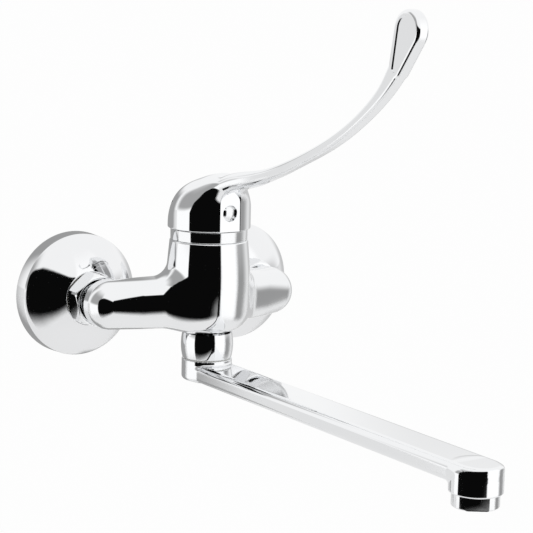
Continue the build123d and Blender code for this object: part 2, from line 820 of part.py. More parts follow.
core_bottom_z = aerator_bottom_z + aerator_lip_height
core_hole_circle = aerator_lip_radius - 2 * aerator_core_hole
with BuildPart() as aerator_core:
    disc(core_bottom_z, aerator_bore_radius, aerator_core_height, shift=aerator_shift)
    with BuildSketch(Plane.XY.offset(core_bottom_z)):
        with Locations((0, aerator_y)):
            Circle(aerator_core_hole)
            with PolarLocations(core_hole_circle, aerator_core_holes):
                Circle(aerator_core_hole)
            with PolarLocations(core_hole_circle / 2, aerator_core_holes // 2):
                Circle(aerator_core_hole)
    extrude(amount=aerator_core_height, mode=Mode.SUBTRACT)
keep(aerator_core, "aerator_core")

screen_z = core_bottom_z + aerator_core_height
with BuildPart() as aerator_screen:
    disc(screen_z, aerator_bore_radius, aerator_screen_thickness, shift=aerator_shift)
    with BuildSketch(Plane.XY.offset(screen_z)):
        with Locations((0, aerator_y)):
            with PolarLocations(core_hole_circle, 2 * aerator_core_holes):
                Circle(aerator_core_hole / 2)
            with PolarLocations(core_hole_circle / 2, aerator_core_holes):
                Circle(aerator_core_hole / 2)
    extrude(amount=aerator_screen_thickness, mode=Mode.SUBTRACT)
keep(aerator_screen, "aerator_screen")

with BuildPart() as aerator_washer:
    with BuildSketch(Plane.XY.offset(block_bottom_z + aerator_thread_length)):
        with Locations((0, aerator_y)):
            Circle(aerator_thread_radius)
            Circle(aerator_washer_inner_radius, mode=Mode.SUBTRACT)
    extrude(amount=aerator_washer_thickness)
keep(aerator_washer, "aerator_washer")

# Inlets, left and right
nut_back_reach = nut_front_reach - nut_length
flange_y = nut_lip_length + nipple_play - nut_front_reach
washer_y = flange_y + nipple_flange_length
union_y = washer_y + washer_thickness
nut_chamfer = (nut_corner_radius - nut_across_flats / 2) * math.tan(math.radians(nut_chamfer_angle))
for side, sign in sides:
    x = sign * inlet_x
    inlet_axis = Axis((x, 0, 0), (0, 1, 0))
    inlet_plane = Plane((x, 0, 0))

    with BuildPart() as tail_nipple:
        tube(x, -stub_reach - inlet_thread_depth, inlet_thread_radius, inlet_thread_depth)
        tube(x, -stub_reach, nipple_collar_radius, nipple_collar_length)
        tube(x, -stub_reach, nipple_tube_radius, stub_reach + washer_y)
        tube(x, flange_y, nipple_flange_radius, nipple_flange_length)
        bore_length = stub_reach + inlet_thread_depth + washer_y
        tube(
            x,
            -stub_reach - inlet_thread_depth,
            nipple_bore_radius,
            bore_length,
            mode=Mode.SUBTRACT,
        )
    keep(tail_nipple, f"tail_nipple_{side}")

    with BuildPart() as union_nut:
        with BuildSketch(Plane.XZ.offset(nut_back_reach)):
            with Locations((x, 0)):
                RegularPolygon(nut_corner_radius, 6, rotation=sign * nut_turn)
        extrude(amount=nut_length)
        with BuildSketch(inlet_plane):
            outline(
                (0, -nut_front_reach),
                (nut_across_flats / 2, -nut_front_reach),
                (nut_corner_radius, nut_chamfer - nut_front_reach),
                (nut_corner_radius, -nut_chamfer - nut_back_reach),
                (nut_across_flats / 2, -nut_back_reach),
                (0, -nut_back_reach),
            )
        revolve(axis=inlet_axis, mode=Mode.INTERSECT)
        tube(
            x,
            nut_lip_length - nut_front_reach,
            union_thread_radius,
            nut_length,
            mode=Mode.SUBTRACT,
        )
        tube(
            x,
            -nut_front_reach - overrun,
            nipple_tube_radius + nipple_play,
            nut_length,
            mode=Mode.SUBTRACT,
        )
    keep(union_nut, f"union_nut_{side}")

    with BuildPart() as union_washer:
        tube(x, washer_y, nipple_flange_radius, washer_thickness, washer_inner_radius)
    keep(union_washer, f"union_washer_{side}")

    with BuildPart() as strainer:
        strainer_inner = washer_inner_radius - strainer_rim_width
        tube(x, washer_y, washer_inner_radius, washer_thickness, strainer_inner)
        tube(x, washer_y, strainer_inner + strainer_wall, strainer_depth, strainer_inner)
        cup_end = washer_y + strainer_depth - strainer_wall
        tube(x, cup_end, strainer_inner, strainer_wall)
        with BuildSketch(Plane.XZ.offset(-cup_end)):
            with Locations((x, 0)):
                with PolarLocations(strainer_inner / 2, strainer_hole_count // 2):
                    Circle(strainer_hole_radius)
        extrude(amount=-strainer_wall, mode=Mode.SUBTRACT)
    keep(strainer, f"strainer_{side}")

    with BuildPart() as eccentric_union:
        tube(x, union_y, union_thread_radius, -union_y - offset_back)
        with BuildSketch(Plane.XZ.offset(offset_back)) as shoe:
            with Locations((x, 0)):
                Circle(union_thread_radius)
            with Locations((sign * wall_outlet_x, 0)):
                Circle(offset_inlet_radius)
            make_hull(shoe.edges())
        extrude(amount=offset_front - offset_back)
        wall_x = sign * wall_outlet_x
        tube(wall_x, -offset_back, wall_thread_radius, wall_thread_length + offset_back)
        pocket_depth = offset_front - offset_back - 2 * offset_wall
        with BuildSketch(Plane.XZ.offset(offset_back + offset_wall)) as passage:
            with Locations((x, 0), (wall_x, 0)):
                Circle(wall_bore_radius)
            make_hull(passage.edges())
        extrude(amount=pocket_depth, mode=Mode.SUBTRACT)
        inlet_bore_length = -union_y - offset_back - offset_wall
        tube(x, union_y, washer_inner_radius, inlet_bore_length, mode=Mode.SUBTRACT)
        wall_bore_y = -offset_back - offset_wall
        wall_bore_length = wall_thread_length - wall_bore_y
        tube(wall_x, wall_bore_y, wall_bore_radius, wall_bore_length, mode=Mode.SUBTRACT)
    keep(eccentric_union, f"eccentric_union_{side}")

    with BuildPart() as rosette:
        rim_front_radius = rosette_radius - rosette_rim_draft
        flange_face = rosette_neck_reach - rosette_flange_inset
        hole_radius = union_thread_radius + rosette_play
        middle_radius = (rim_front_radius + rosette_neck_radius) / 2
        middle_reach = (rosette_rim + rosette_neck_reach) / 2
        with BuildSketch(inlet_plane):
            with BuildLine():
                dome = ThreePointArc(
                    (rim_front_radius, -rosette_rim),
                    (middle_radius + rosette_bulge, -middle_reach - rosette_bulge),
                    (rosette_neck_radius, -rosette_neck_reach),
                )
                Polyline(
                    dome @ 1,
                    (rosette_neck_radius - rosette_wall, -rosette_neck_reach),
                    (rosette_neck_radius - rosette_wall, -flange_face),
                    (hole_radius, -flange_face),
                    (hole_radius, rosette_wall - flange_face),
                    (rosette_neck_radius - rosette_wall, rosette_wall - flange_face),
                )
                inner_dome = ThreePointArc(
                    (rosette_neck_radius - rosette_wall, rosette_wall - flange_face),
                    (middle_radius + rosette_bulge - rosette_wall, rosette_wall - middle_reach),
                    (rim_front_radius - rosette_wall, rosette_wall - rosette_rim),
                )
                Polyline(
                    inner_dome @ 1,
                    (rosette_radius - rosette_wall, 0),
                    (rosette_radius, 0),
                    dome @ 0,
                )
            make_face()
        revolve(axis=inlet_axis)
    keep(rosette, f"rosette_{side}")
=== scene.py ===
import json
import logging
import math
from dataclasses import dataclass
from enum import Enum
from typing import Callable, Sequence

import bmesh
import bpy
import numpy as np
from mathutils import Matrix, Vector

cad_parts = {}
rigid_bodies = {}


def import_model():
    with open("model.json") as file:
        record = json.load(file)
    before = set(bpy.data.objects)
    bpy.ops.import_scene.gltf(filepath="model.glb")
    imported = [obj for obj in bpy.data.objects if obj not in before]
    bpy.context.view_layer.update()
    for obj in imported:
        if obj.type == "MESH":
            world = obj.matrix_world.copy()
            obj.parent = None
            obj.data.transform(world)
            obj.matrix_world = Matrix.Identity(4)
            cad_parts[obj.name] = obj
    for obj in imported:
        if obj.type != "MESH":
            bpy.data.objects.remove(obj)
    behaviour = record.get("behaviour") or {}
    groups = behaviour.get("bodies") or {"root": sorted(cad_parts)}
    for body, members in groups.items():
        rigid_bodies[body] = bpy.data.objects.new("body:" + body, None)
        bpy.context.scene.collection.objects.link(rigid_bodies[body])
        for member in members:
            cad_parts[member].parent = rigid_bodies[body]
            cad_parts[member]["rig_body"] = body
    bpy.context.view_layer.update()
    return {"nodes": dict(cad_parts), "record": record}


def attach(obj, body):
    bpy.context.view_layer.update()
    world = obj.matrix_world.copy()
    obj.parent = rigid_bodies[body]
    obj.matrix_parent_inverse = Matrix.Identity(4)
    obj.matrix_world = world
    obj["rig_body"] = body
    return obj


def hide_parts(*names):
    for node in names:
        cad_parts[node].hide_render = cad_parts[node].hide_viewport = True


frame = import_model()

SLOTS = {row["node"]: row["material_slot"] for row in frame["record"]["subparts"]}
MM = 0.001
AXIS_REACH = 66.4  # distance of the swivel axis from the wall, in millimetres
INLET_X = 55.0  # distance of an inlet's axis from the middle, in millimetres
UP = Vector((0, 0, 1))
WALLWARD = Vector((0, 1, 0))
log = logging.getLogger("elbow_lever_tap")

Field = Callable[[np.ndarray], np.ndarray]
Point = tuple[float, float]
Span = tuple[float, float, float]
Bore = tuple[Vector, Vector, float]


class Side(Enum):
    """The two inlets, by the sign of their X."""

    LEFT = -1
    RIGHT = 1

    @property
    def label(self) -> str:
        """Ending of the node names on this side."""
        return self.name.lower()


# ---------------------------------------------------------------- fields


class Curve:
    """Natural cubic spline y(x) through a few points, for profiles and edge lines."""

    def __init__(self, points: Sequence[Point]) -> None:
        """Solve the spline's second derivatives.

        Args:
            points: Pairs of x and y, in any order, in millimetres.
        """
        pts = sorted(points)
        self.x = np.array([p[0] for p in pts], float)
        self.y = np.array([p[1] for p in pts], float)
        n = len(pts)
        h = np.diff(self.x)
        a = np.eye(n)
        b = np.zeros(n)
        for i in range(1, n - 1):
            a[i, i - 1], a[i, i], a[i, i + 1] = h[i - 1], 2 * (h[i - 1] + h[i]), h[i]
            b[i] = 6 * ((self.y[i + 1] - self.y[i]) / h[i] - (self.y[i] - self.y[i - 1]) / h[i - 1])
        self.m = np.linalg.solve(a, b)

    def __call__(self, x: np.ndarray) -> tuple[np.ndarray, np.ndarray]:
        """Value and slope, carried on straight past both ends.

        Args:
            x: Places along the curve.

        Returns:
            The curve's value and its slope there.
        """
        q = np.clip(x, self.x[0], self.x[-1])
        i = np.clip(np.searchsorted(self.x, q) - 1, 0, len(self.x) - 2)
        h = self.x[i + 1] - self.x[i]
        u, v = (self.x[i + 1] - q) / h, (q - self.x[i]) / h
        a, b = self.m[i], self.m[i + 1]
        y = u * self.y[i] + v * self.y[i + 1] + ((u**3 - u) * a + (v**3 - v) * b) * h * h / 6
        s = (self.y[i + 1] - self.y[i]) / h + ((1 - 3 * u * u) * a + (3 * v * v - 1) * b) * h / 6
        return y + (x - q) * s, s


def round_join(a: np.ndarray, b: np.ndarray, r: float | np.ndarray) -> np.ndarray:
    """Union of two distance fields with a concave fillet of radius r between them."""
    return np.maximum(r, np.minimum(a, b)) - np.hypot(np.maximum(r - a, 0), np.maximum(r - b, 0))


def soft_join(a: np.ndarray, b: np.ndarray, k: float) -> np.ndarray:
    """Union of two distance fields that melt into each other over a width k."""
    h = np.clip(0.5 + 0.5 * (b - a) / k, 0, 1)
    return b + (a - b) * h - k * h * (1 - h)


def round_meet(a: np.ndarray, b: np.ndarray, r: float | np.ndarray) -> np.ndarray:
    """Intersection of two distance fields with an outer edge rounded by radius r."""
    return np.minimum(-r, np.maximum(a, b)) + np.hypot(np.maximum(r + a, 0), np.maximum(r + b, 0))


def slope_of(field: Field, p: np.ndarray, step: float = 0.004) -> np.ndarray:
    """Gradient of a field by central differences.

    Args:
        field: Signed distance in millimetres.
        p: Points, one per row.
        step: Half of the difference's width, in millimetres.

    Returns:
        One gradient per point.
    """
    g = np.empty_like(p)
    for k in range(3):
        d = np.zeros(3)
        d[k] = step
        g[:, k] = (field(p + d) - field(p - d)) / (2 * step)
    return g


# ---------------------------------------------------------------- mesh making


CRISP_ANGLE = 32.0
NEWTON_ROUNDS = 7
NEWTON_STEP = 1.5  # furthest that one round moves a vertex, in millimetres
LEAST_SLOPE = 0.25  # least squared gradient that a Newton step divides by
ON_SURFACE = 0.08  # how near the field's surface a vertex takes its normal, in millimetres
BORE_EDGE = 0.3  # rounding of a bore's edge, in millimetres


def enter(name: str, bm: bmesh.types.BMesh) -> bpy.types.Object:
    """Turn a bmesh in metres into an object at the origin.

    Args:
        name: Object name.
        bm: The mesh, freed here.

    Returns:
        The new object.
    """
    mesh = bpy.data.meshes.new(name)
    bm.to_mesh(mesh)
    bm.free()
    obj = bpy.data.objects.new(name, mesh)
    bpy.context.scene.collection.objects.link(obj)
    return obj


def link(name: str, bm: bmesh.types.BMesh) -> bpy.types.Object:
    """Turn a bmesh in millimetres into an object in metres at the origin.

    Args:
        name: Piece name.
        bm: The mesh, freed here.

    Returns:
        The new object.
    """
    bmesh.ops.scale(bm, vec=(MM, MM, MM), verts=bm.verts)
    return enter(name, bm)


def points_of(mesh: bpy.types.Mesh) -> np.ndarray:
    """Read the places of a mesh's vertices.

    Args:
        mesh: The mesh.

    Returns:
        One point per row, in millimetres.
    """
    co = np.empty(len(mesh.vertices) * 3, np.float32)
    mesh.vertices.foreach_get("co", co)
    return co.reshape(-1, 3).astype(float) / MM


def smooth(obj: bpy.types.Object, angle: float = CRISP_ANGLE) -> bpy.types.Object:
    """Shade a piece smooth, with sharp edges left crisp.

    Args:
        obj: The piece.
        angle: Edges sharper than this stay crisp, in degrees.

    Returns:
        The same piece.
    """
    obj.data.shade_smooth()
    obj.data.set_sharp_from_angle(angle=math.radians(angle))
    return obj


def applied(obj: bpy.types.Object) -> bpy.types.Object:
    """Replace a piece's mesh by the result of its modifiers.

    Args:
        obj: The piece, with modifiers.

    Returns:
        The same piece, without modifiers.
    """
    graph = bpy.context.evaluated_depsgraph_get()
    mesh = bpy.data.meshes.new_from_object(obj.evaluated_get(graph))
    obj.modifiers.clear()
    obj.data = mesh
    return obj


def turned(
    name: str,
    profile: Sequence[tuple[float, float, float]],
    centre: Vector,
    axis: Vector,
    steps: int = 128,
    closed: bool = True,
) -> bpy.types.Object:
    """Lathe work: spin a profile with rounded corners about an axis.

    Args:
        name: Piece name.
        profile: Corners as radius, place along the axis, and corner rounding, in millimetres.
        centre: A point on the axis, from which places are counted.
        axis: Unit direction of the axis.
        steps: Facets round the piece.
        closed: Join the last corner to the first.

    Returns:
        The piece, shaded smooth.
    """
    bm = bmesh.new()
    out = Vector((1, 0, 0)) if abs(axis.x) < 0.5 else Vector((0, 0, 1))
    verts = [bm.verts.new(centre + out * r + axis * s) for r, s, _ in profile]
    pairs = list(zip(verts, verts[1:]))
    if closed:
        pairs.append((verts[-1], verts[0]))
    for pair in pairs:
        bm.edges.new(pair)
    for vert, (_, _, rounding) in zip(verts, profile):
        if rounding <= 0:
            continue
        ways = [(e.other_vert(vert).co - vert.co).normalized() for e in vert.link_edges]
        half = ways[0].angle(ways[1]) / 2
        bmesh.ops.bevel(
            bm,
            geom=[vert],
            offset=rounding / math.tan(half),
            offset_type="OFFSET",
            segments=max(3, round(8 * (1 - half / math.pi * 2) * 2)),
            profile=0.5,
            affect="VERTICES",
            material=-1,
        )
    bmesh.ops.spin(
        bm,
        geom=bm.verts[:] + bm.edges[:],
        cent=centre,
        axis=axis,
        dvec=(0, 0, 0),
        angle=2 * math.pi,
        steps=steps,
        use_merge=True,
        use_duplicate=False,
    )
    bmesh.ops.remove_doubles(bm, verts=bm.verts, dist=1e-4)
    bmesh.ops.dissolve_degenerate(bm, edges=bm.edges, dist=1e-5)
    bmesh.ops.recalc_face_normals(bm, faces=bm.faces)
    return smooth(link(name, bm))


def rod(
    bm: bmesh.types.BMesh, start: Vector, end: Vector, radius: float, segments: int = 48
) -> list[bmesh.types.BMVert]:
    """Add a closed cylinder between two points.

    Args:
        bm: Mesh to add to, in millimetres.
        start: Middle of one end.
        end: Middle of the other end.
        radius: Radius of the cylinder.
        segments: Facets round it.

    Returns:
        The new vertices.
    """
    way = end - start
    turn = way.to_track_quat("Z", "Y").to_matrix().to_4x4()
    made = bmesh.ops.create_cone(
        bm,
        cap_ends=True,
        segments=segments,
        radius1=radius,
        radius2=radius,
        depth=way.length,
        matrix=Matrix.Translation((start + end) / 2) @ turn,
    )
    return made["verts"]


def ball(bm: bmesh.types.BMesh, centre: Vector, radius: float) -> list[bmesh.types.BMVert]:
    """Add a sphere.

    Args:
        bm: Mesh to add to, in millimetres.
        centre: Middle of the sphere.
        radius: Radius of the sphere.

    Returns:
        The new vertices.
    """
    made = bmesh.ops.create_uvsphere(
        bm, u_segments=40, v_segments=24, radius=radius, matrix=Matrix.Translation(centre)
    )
    return made["verts"]


def block(bm: bmesh.types.BMesh, low: Vector, high: Vector) -> list[bmesh.types.BMVert]:
    """Add a box between two corners.

    Args:
        bm: Mesh to add to, in millimetres.
        low: Corner with the least x, y and z.
        high: Corner with the greatest x, y and z.

    Returns:
        The new vertices.
    """
    made = bmesh.ops.create_cube(bm, size=1.0)
    size = high - low
    bmesh.ops.scale(bm, vec=size, verts=made["verts"])
    bmesh.ops.translate(bm, vec=(low + high) / 2, verts=made["verts"])
    return made["verts"]


def drill(
    name: str, start: Vector, end: Vector, radius: float, segments: int = 48
) -> bpy.types.Object:
    """Make a round cutting tool between two points.

    Args:
        name: Tool name.
        start: Middle of one end, in millimetres.
        end: Middle of the other end.
        radius: Radius of the tool.
        segments: Facets round it.

    Returns:
        The tool.
    """
    bm = bmesh.new()
    rod(bm, start, end, radius, segments)
    return link(name, bm)


def chisel(name: str, low: Span, high: Span) -> bpy.types.Object:
    """Make a square cutting tool between two corners.

    Args:
        name: Tool name.
        low: Corner with the least x, y and z, in millimetres.
        high: Corner with the greatest x, y and z.

    Returns:
        The tool.
    """
    bm = bmesh.new()
    block(bm, Vector(low), Vector(high))
    return link(name, bm)


def combine(obj: bpy.types.Object, tool: bpy.types.Object, operation: str) -> bpy.types.Object:
    """Join a tool to a piece with an exact boolean, and delete the tool.

    Args:
        obj: The piece.
        tool: The tool.
        operation: DIFFERENCE or INTERSECT.

    Returns:
        The same piece.
    """
    mod = obj.modifiers.new("shape", "BOOLEAN")
    mod.operation = operation
    mod.solver = "EXACT"
    mod.object = tool
    applied(obj)
    bpy.data.objects.remove(tool)
    return obj


def cut_away(obj: bpy.types.Object, tools: Sequence[bpy.types.Object]) -> bpy.types.Object:
    """Take the tools' shapes out of a piece, and delete the tools.

    Args:
        obj: The piece.
        tools: The cutting tools, in order.

    Returns:
        The same piece.
    """
    for tool in tools:
        combine(obj, tool, "DIFFERENCE")
    return obj


@dataclass
class Casting:
    """A cast and polished form: rough solids fused and drawn onto one smooth field.

    Attributes:
        name: Piece name.
        field: Signed distance to the finished surface, in millimetres.
        grain: Mesh size, in millimetres.
        bores: Round holes as start, end and radius.
    """

    name: str
    field: Field
    grain: float
    bores: Sequence[Bore] = ()

    def whole(self, p: np.ndarray) -> np.ndarray:
        """The field with the bores taken out.

        Args:
            p: Points, one per row, in millimetres.

        Returns:
            One signed distance per point.
        """
        shape = self.field(p)
        for start, end, radius in self.bores:
            way = np.array((end - start).normalized())
            off = p - np.array(start)
            along = off @ way
            across = np.linalg.norm(off - along[:, None] * way, axis=1)
            pipe = np.maximum(across - radius, np.maximum(-along, along - (end - start).length))
            shape = round_meet(shape, -pipe, BORE_EDGE)
        return shape

    def fuse(self, obj: bpy.types.Object) -> bpy.types.Object:
        """Turn overlapping solids into one even skin.

        Args:
            obj: The solids.

        Returns:
            The same object.
        """
        mod = obj.modifiers.new("fuse", "REMESH")
        mod.mode = "VOXEL"
        mod.voxel_size = self.grain * MM
        return applied(obj)

    def form(self, rough: bmesh.types.BMesh) -> bpy.types.Object:
        """Fuse the rough solids, bore them, then move every vertex onto the field's surface.

        Args:
            rough: Overlapping closed solids near the wanted form.

        Returns:
            The piece.
        """
        obj = self.fuse(link(self.name, rough))
        if self.bores:
            self.fuse(cut_away(obj, [drill("bore", *bore, 96) for bore in self.bores]))
        self.draw_on(obj)
        return obj

    def draw_on(self, obj: bpy.types.Object) -> None:
        """Move the vertices onto the field's surface by a few Newton steps.

        Args:
            obj: The fused piece.
        """
        mesh = obj.data
        p = points_of(mesh)
        for _ in range(NEWTON_ROUNDS):
            g = slope_of(self.whole, p)
            d = self.whole(p) / np.maximum((g * g).sum(1), LEAST_SLOPE)
            p -= g * np.clip(d, -NEWTON_STEP, NEWTON_STEP)[:, None]
        mesh.vertices.foreach_set("co", (p * MM).astype(np.float32).ravel())
        mesh.update()

    def polish(self, obj: bpy.types.Object, crisp: float = CRISP_ANGLE) -> bpy.types.Object:
        """Give the mesh the field's own normals, and plain ones on cut faces.

        Args:
            obj: The formed piece, cuts included.
            crisp: Faces turned further than this from the field keep their own normal.

        Returns:
            The same piece.
        """
        smooth(obj, crisp)
        mesh = obj.data
        mesh.update()
        n_loops = len(mesh.loops)
        vert_of = np.empty(n_loops, np.int32)
        mesh.loops.foreach_get("vertex_index", vert_of)
        p = points_of(mesh)
        g = slope_of(self.whole, p)
        g /= np.maximum(np.linalg.norm(g, axis=1), 1e-6)[:, None]
        far = np.abs(self.whole(p)) > ON_SURFACE
        plain = np.empty(n_loops * 3, np.float32)
        mesh.corner_normals.foreach_get("vector", plain)
        plain = plain.reshape(-1, 3)
        flat = np.empty(len(mesh.polygons) * 3, np.float32)
        mesh.polygons.foreach_get("normal", flat)
        totals = np.empty(len(mesh.polygons), np.int32)
        mesh.polygons.foreach_get("loop_total", totals)
        flat = np.repeat(flat.reshape(-1, 3), totals, axis=0)
        wanted = g[vert_of]
        fits = ((wanted * flat).sum(1) > math.cos(math.radians(crisp))) & ~far[vert_of]
        normals = np.where(fits[:, None], wanted, plain)
        mesh.normals_split_custom_set(normals.tolist())
        return obj


# ---------------------------------------------------------------- finishes


def set_sockets(node: bpy.types.Node, **values: object) -> bpy.types.Node:
    """Set input sockets of a shader node.

    Args:
        node: The node.
        values: Values by socket name, with underscores for spaces.

    Returns:
        The same node.
    """
    for name, value in values.items():
        node.inputs[name.replace("_", " ")].default_value = value
    return node


def add_node(tree: bpy.types.NodeTree, kind: str, **values: object) -> bpy.types.Node:
    """Add a shader node, named without its prefix, and set its input sockets."""
    return set_sockets(tree.nodes.new("ShaderNode" + kind), **values)


def wire(
    tree: bpy.types.NodeTree,
    source: bpy.types.Node,
    output: str,
    target: bpy.types.Node,
    socket: str | int,
) -> None:
    """Join a node's output to another node's input."""
    tree.links.new(source.outputs[output], target.inputs[socket])


@dataclass(frozen=True)
class Finish:
    """A surface finish with faint procedural wear.

    Attributes:
        name: Material name.
        colour: Base colour.
        metallic: 1 for bare or plated metal.
        roughness: Mean roughness.
        wear: How far the roughness wanders.
        wear_scale: Noise scale per metre.
        bump: Height of the fine relief, in millimetres.
        bump_scale: Relief's noise scale per metre.
        tint: Second colour that drifts in.
        stretch: Noise scale along x, y and z.
    """

    name: str
    colour: tuple[float, float, float]
    metallic: float
    roughness: float
    wear: float = 0.02
    wear_scale: float = 40.0
    bump: float = 0.0
    bump_scale: float = 900.0
    tint: tuple[float, float, float] | None = None
    stretch: tuple[float, float, float] = (1.0, 1.0, 1.0)

    def make(self) -> bpy.types.Material:
        """Build the node material the first time, and hand the same one back later.

        Returns:
            The material.
        """
        found = bpy.data.materials.get(self.name)
        if found:
            return found
        mat = bpy.data.materials.new(self.name)
        mat.use_nodes = True
        tree = mat.node_tree
        shader = set_sockets(
            tree.nodes["Principled BSDF"],
            Metallic=self.metallic,
            Base_Color=(*self.colour, 1),
            Roughness=self.roughness,
        )
        place = add_node(tree, "TexCoord")
        mapping = add_node(tree, "Mapping", Scale=self.stretch)
        wire(tree, place, "Object", mapping, "Vector")
        smear = add_node(tree, "TexNoise", Scale=self.wear_scale, Detail=5, Roughness=0.6)
        wire(tree, mapping, "Vector", smear, "Vector")
        spread = add_node(
            tree,
            "MapRange",
            From_Min=0.35,
            From_Max=0.75,
            To_Min=max(self.roughness - self.wear / 2, 0.0),
            To_Max=self.roughness + self.wear,
        )
        wire(tree, smear, "Fac", spread, "Value")
        wire(tree, spread, "Result", shader, "Roughness")
        if self.tint:
            ramp = add_node(tree, "ValToRGB")
            ramp.color_ramp.elements[0].color = (*self.colour, 1)
            ramp.color_ramp.elements[1].color = (*self.tint, 1)
            wire(tree, smear, "Fac", ramp, "Fac")
            wire(tree, ramp, "Color", shader, "Base Color")
        if self.bump > 0:
            grain = add_node(tree, "TexNoise", Scale=self.bump_scale, Detail=3)
            wire(tree, mapping, "Vector", grain, "Vector")
            relief = add_node(tree, "Bump", Strength=1.0, Distance=self.bump * MM)
            wire(tree, grain, "Fac", relief, "Height")
            wire(tree, relief, "Normal", shader, "Normal")
        return mat


CHROME = Finish(
    "mirror_chrome_casting", (0.90, 0.905, 0.91), 1.0, 0.035, wear=0.03, wear_scale=55,
    tint=(0.87, 0.88, 0.895),
)
CHROME_SHEET = Finish(
    "mirror_chrome_sheet", (0.89, 0.895, 0.90), 1.0, 0.045, wear=0.035, wear_scale=38,
    tint=(0.86, 0.865, 0.88),
)
CHROME_TRIM = Finish(
    "mirror_chrome_trim", (0.88, 0.885, 0.89), 1.0, 0.05, wear=0.03, wear_scale=70,
    tint=(0.85, 0.86, 0.87),
)
THREAD = Finish(
    "machined_thread", (0.80, 0.79, 0.76), 1.0, 0.22, wear=0.1, wear_scale=90,
    bump=0.02, bump_scale=700, tint=(0.72, 0.66, 0.52),
)
BRASS = Finish(
    "turned_brass", (0.80, 0.61, 0.28), 1.0, 0.24, wear=0.12, wear_scale=120,
    bump=0.01, bump_scale=1500, tint=(0.66, 0.47, 0.2), stretch=(1, 1, 8),
)
STEEL = Finish(
    "stainless_steel", (0.60, 0.61, 0.62), 1.0, 0.26, wear=0.1, wear_scale=150,
    bump=0.006, bump_scale=2200, tint=(0.52, 0.53, 0.55), stretch=(1, 1, 6),
)
ACETAL = Finish(
    "moulded_acetal", (0.82, 0.82, 0.79), 0.0, 0.42, wear=0.1, wear_scale=90,
    bump=0.02, bump_scale=1200, tint=(0.76, 0.76, 0.72),
)
CERAMIC = Finish(
    "lapped_ceramic", (0.90, 0.89, 0.86), 0.0, 0.16, wear=0.06, wear_scale=140,
    bump=0.004, bump_scale=2400, tint=(0.86, 0.85, 0.82),
)
RUBBER = Finish(
    "black_rubber", (0.025, 0.025, 0.026), 0.0, 0.62, wear=0.12, wear_scale=160,
    bump=0.03, bump_scale=1800, tint=(0.04, 0.04, 0.042),
)


def install(obj: bpy.types.Object, node: str, finish: Finish) -> bpy.types.Object:
    """Give a piece its finish and let it stand for a CAD node, on that node's body.

    Args:
        obj: The piece.
        node: Name of the CAD node.
        finish: Its finish.

    Returns:
        The same piece.
    """
    obj.data.materials.clear()
    obj.data.materials.append(finish.make())
    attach(obj, frame["nodes"][node]["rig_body"])
    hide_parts(node)
    return obj


# ---------------------------------------------------------------- body casting


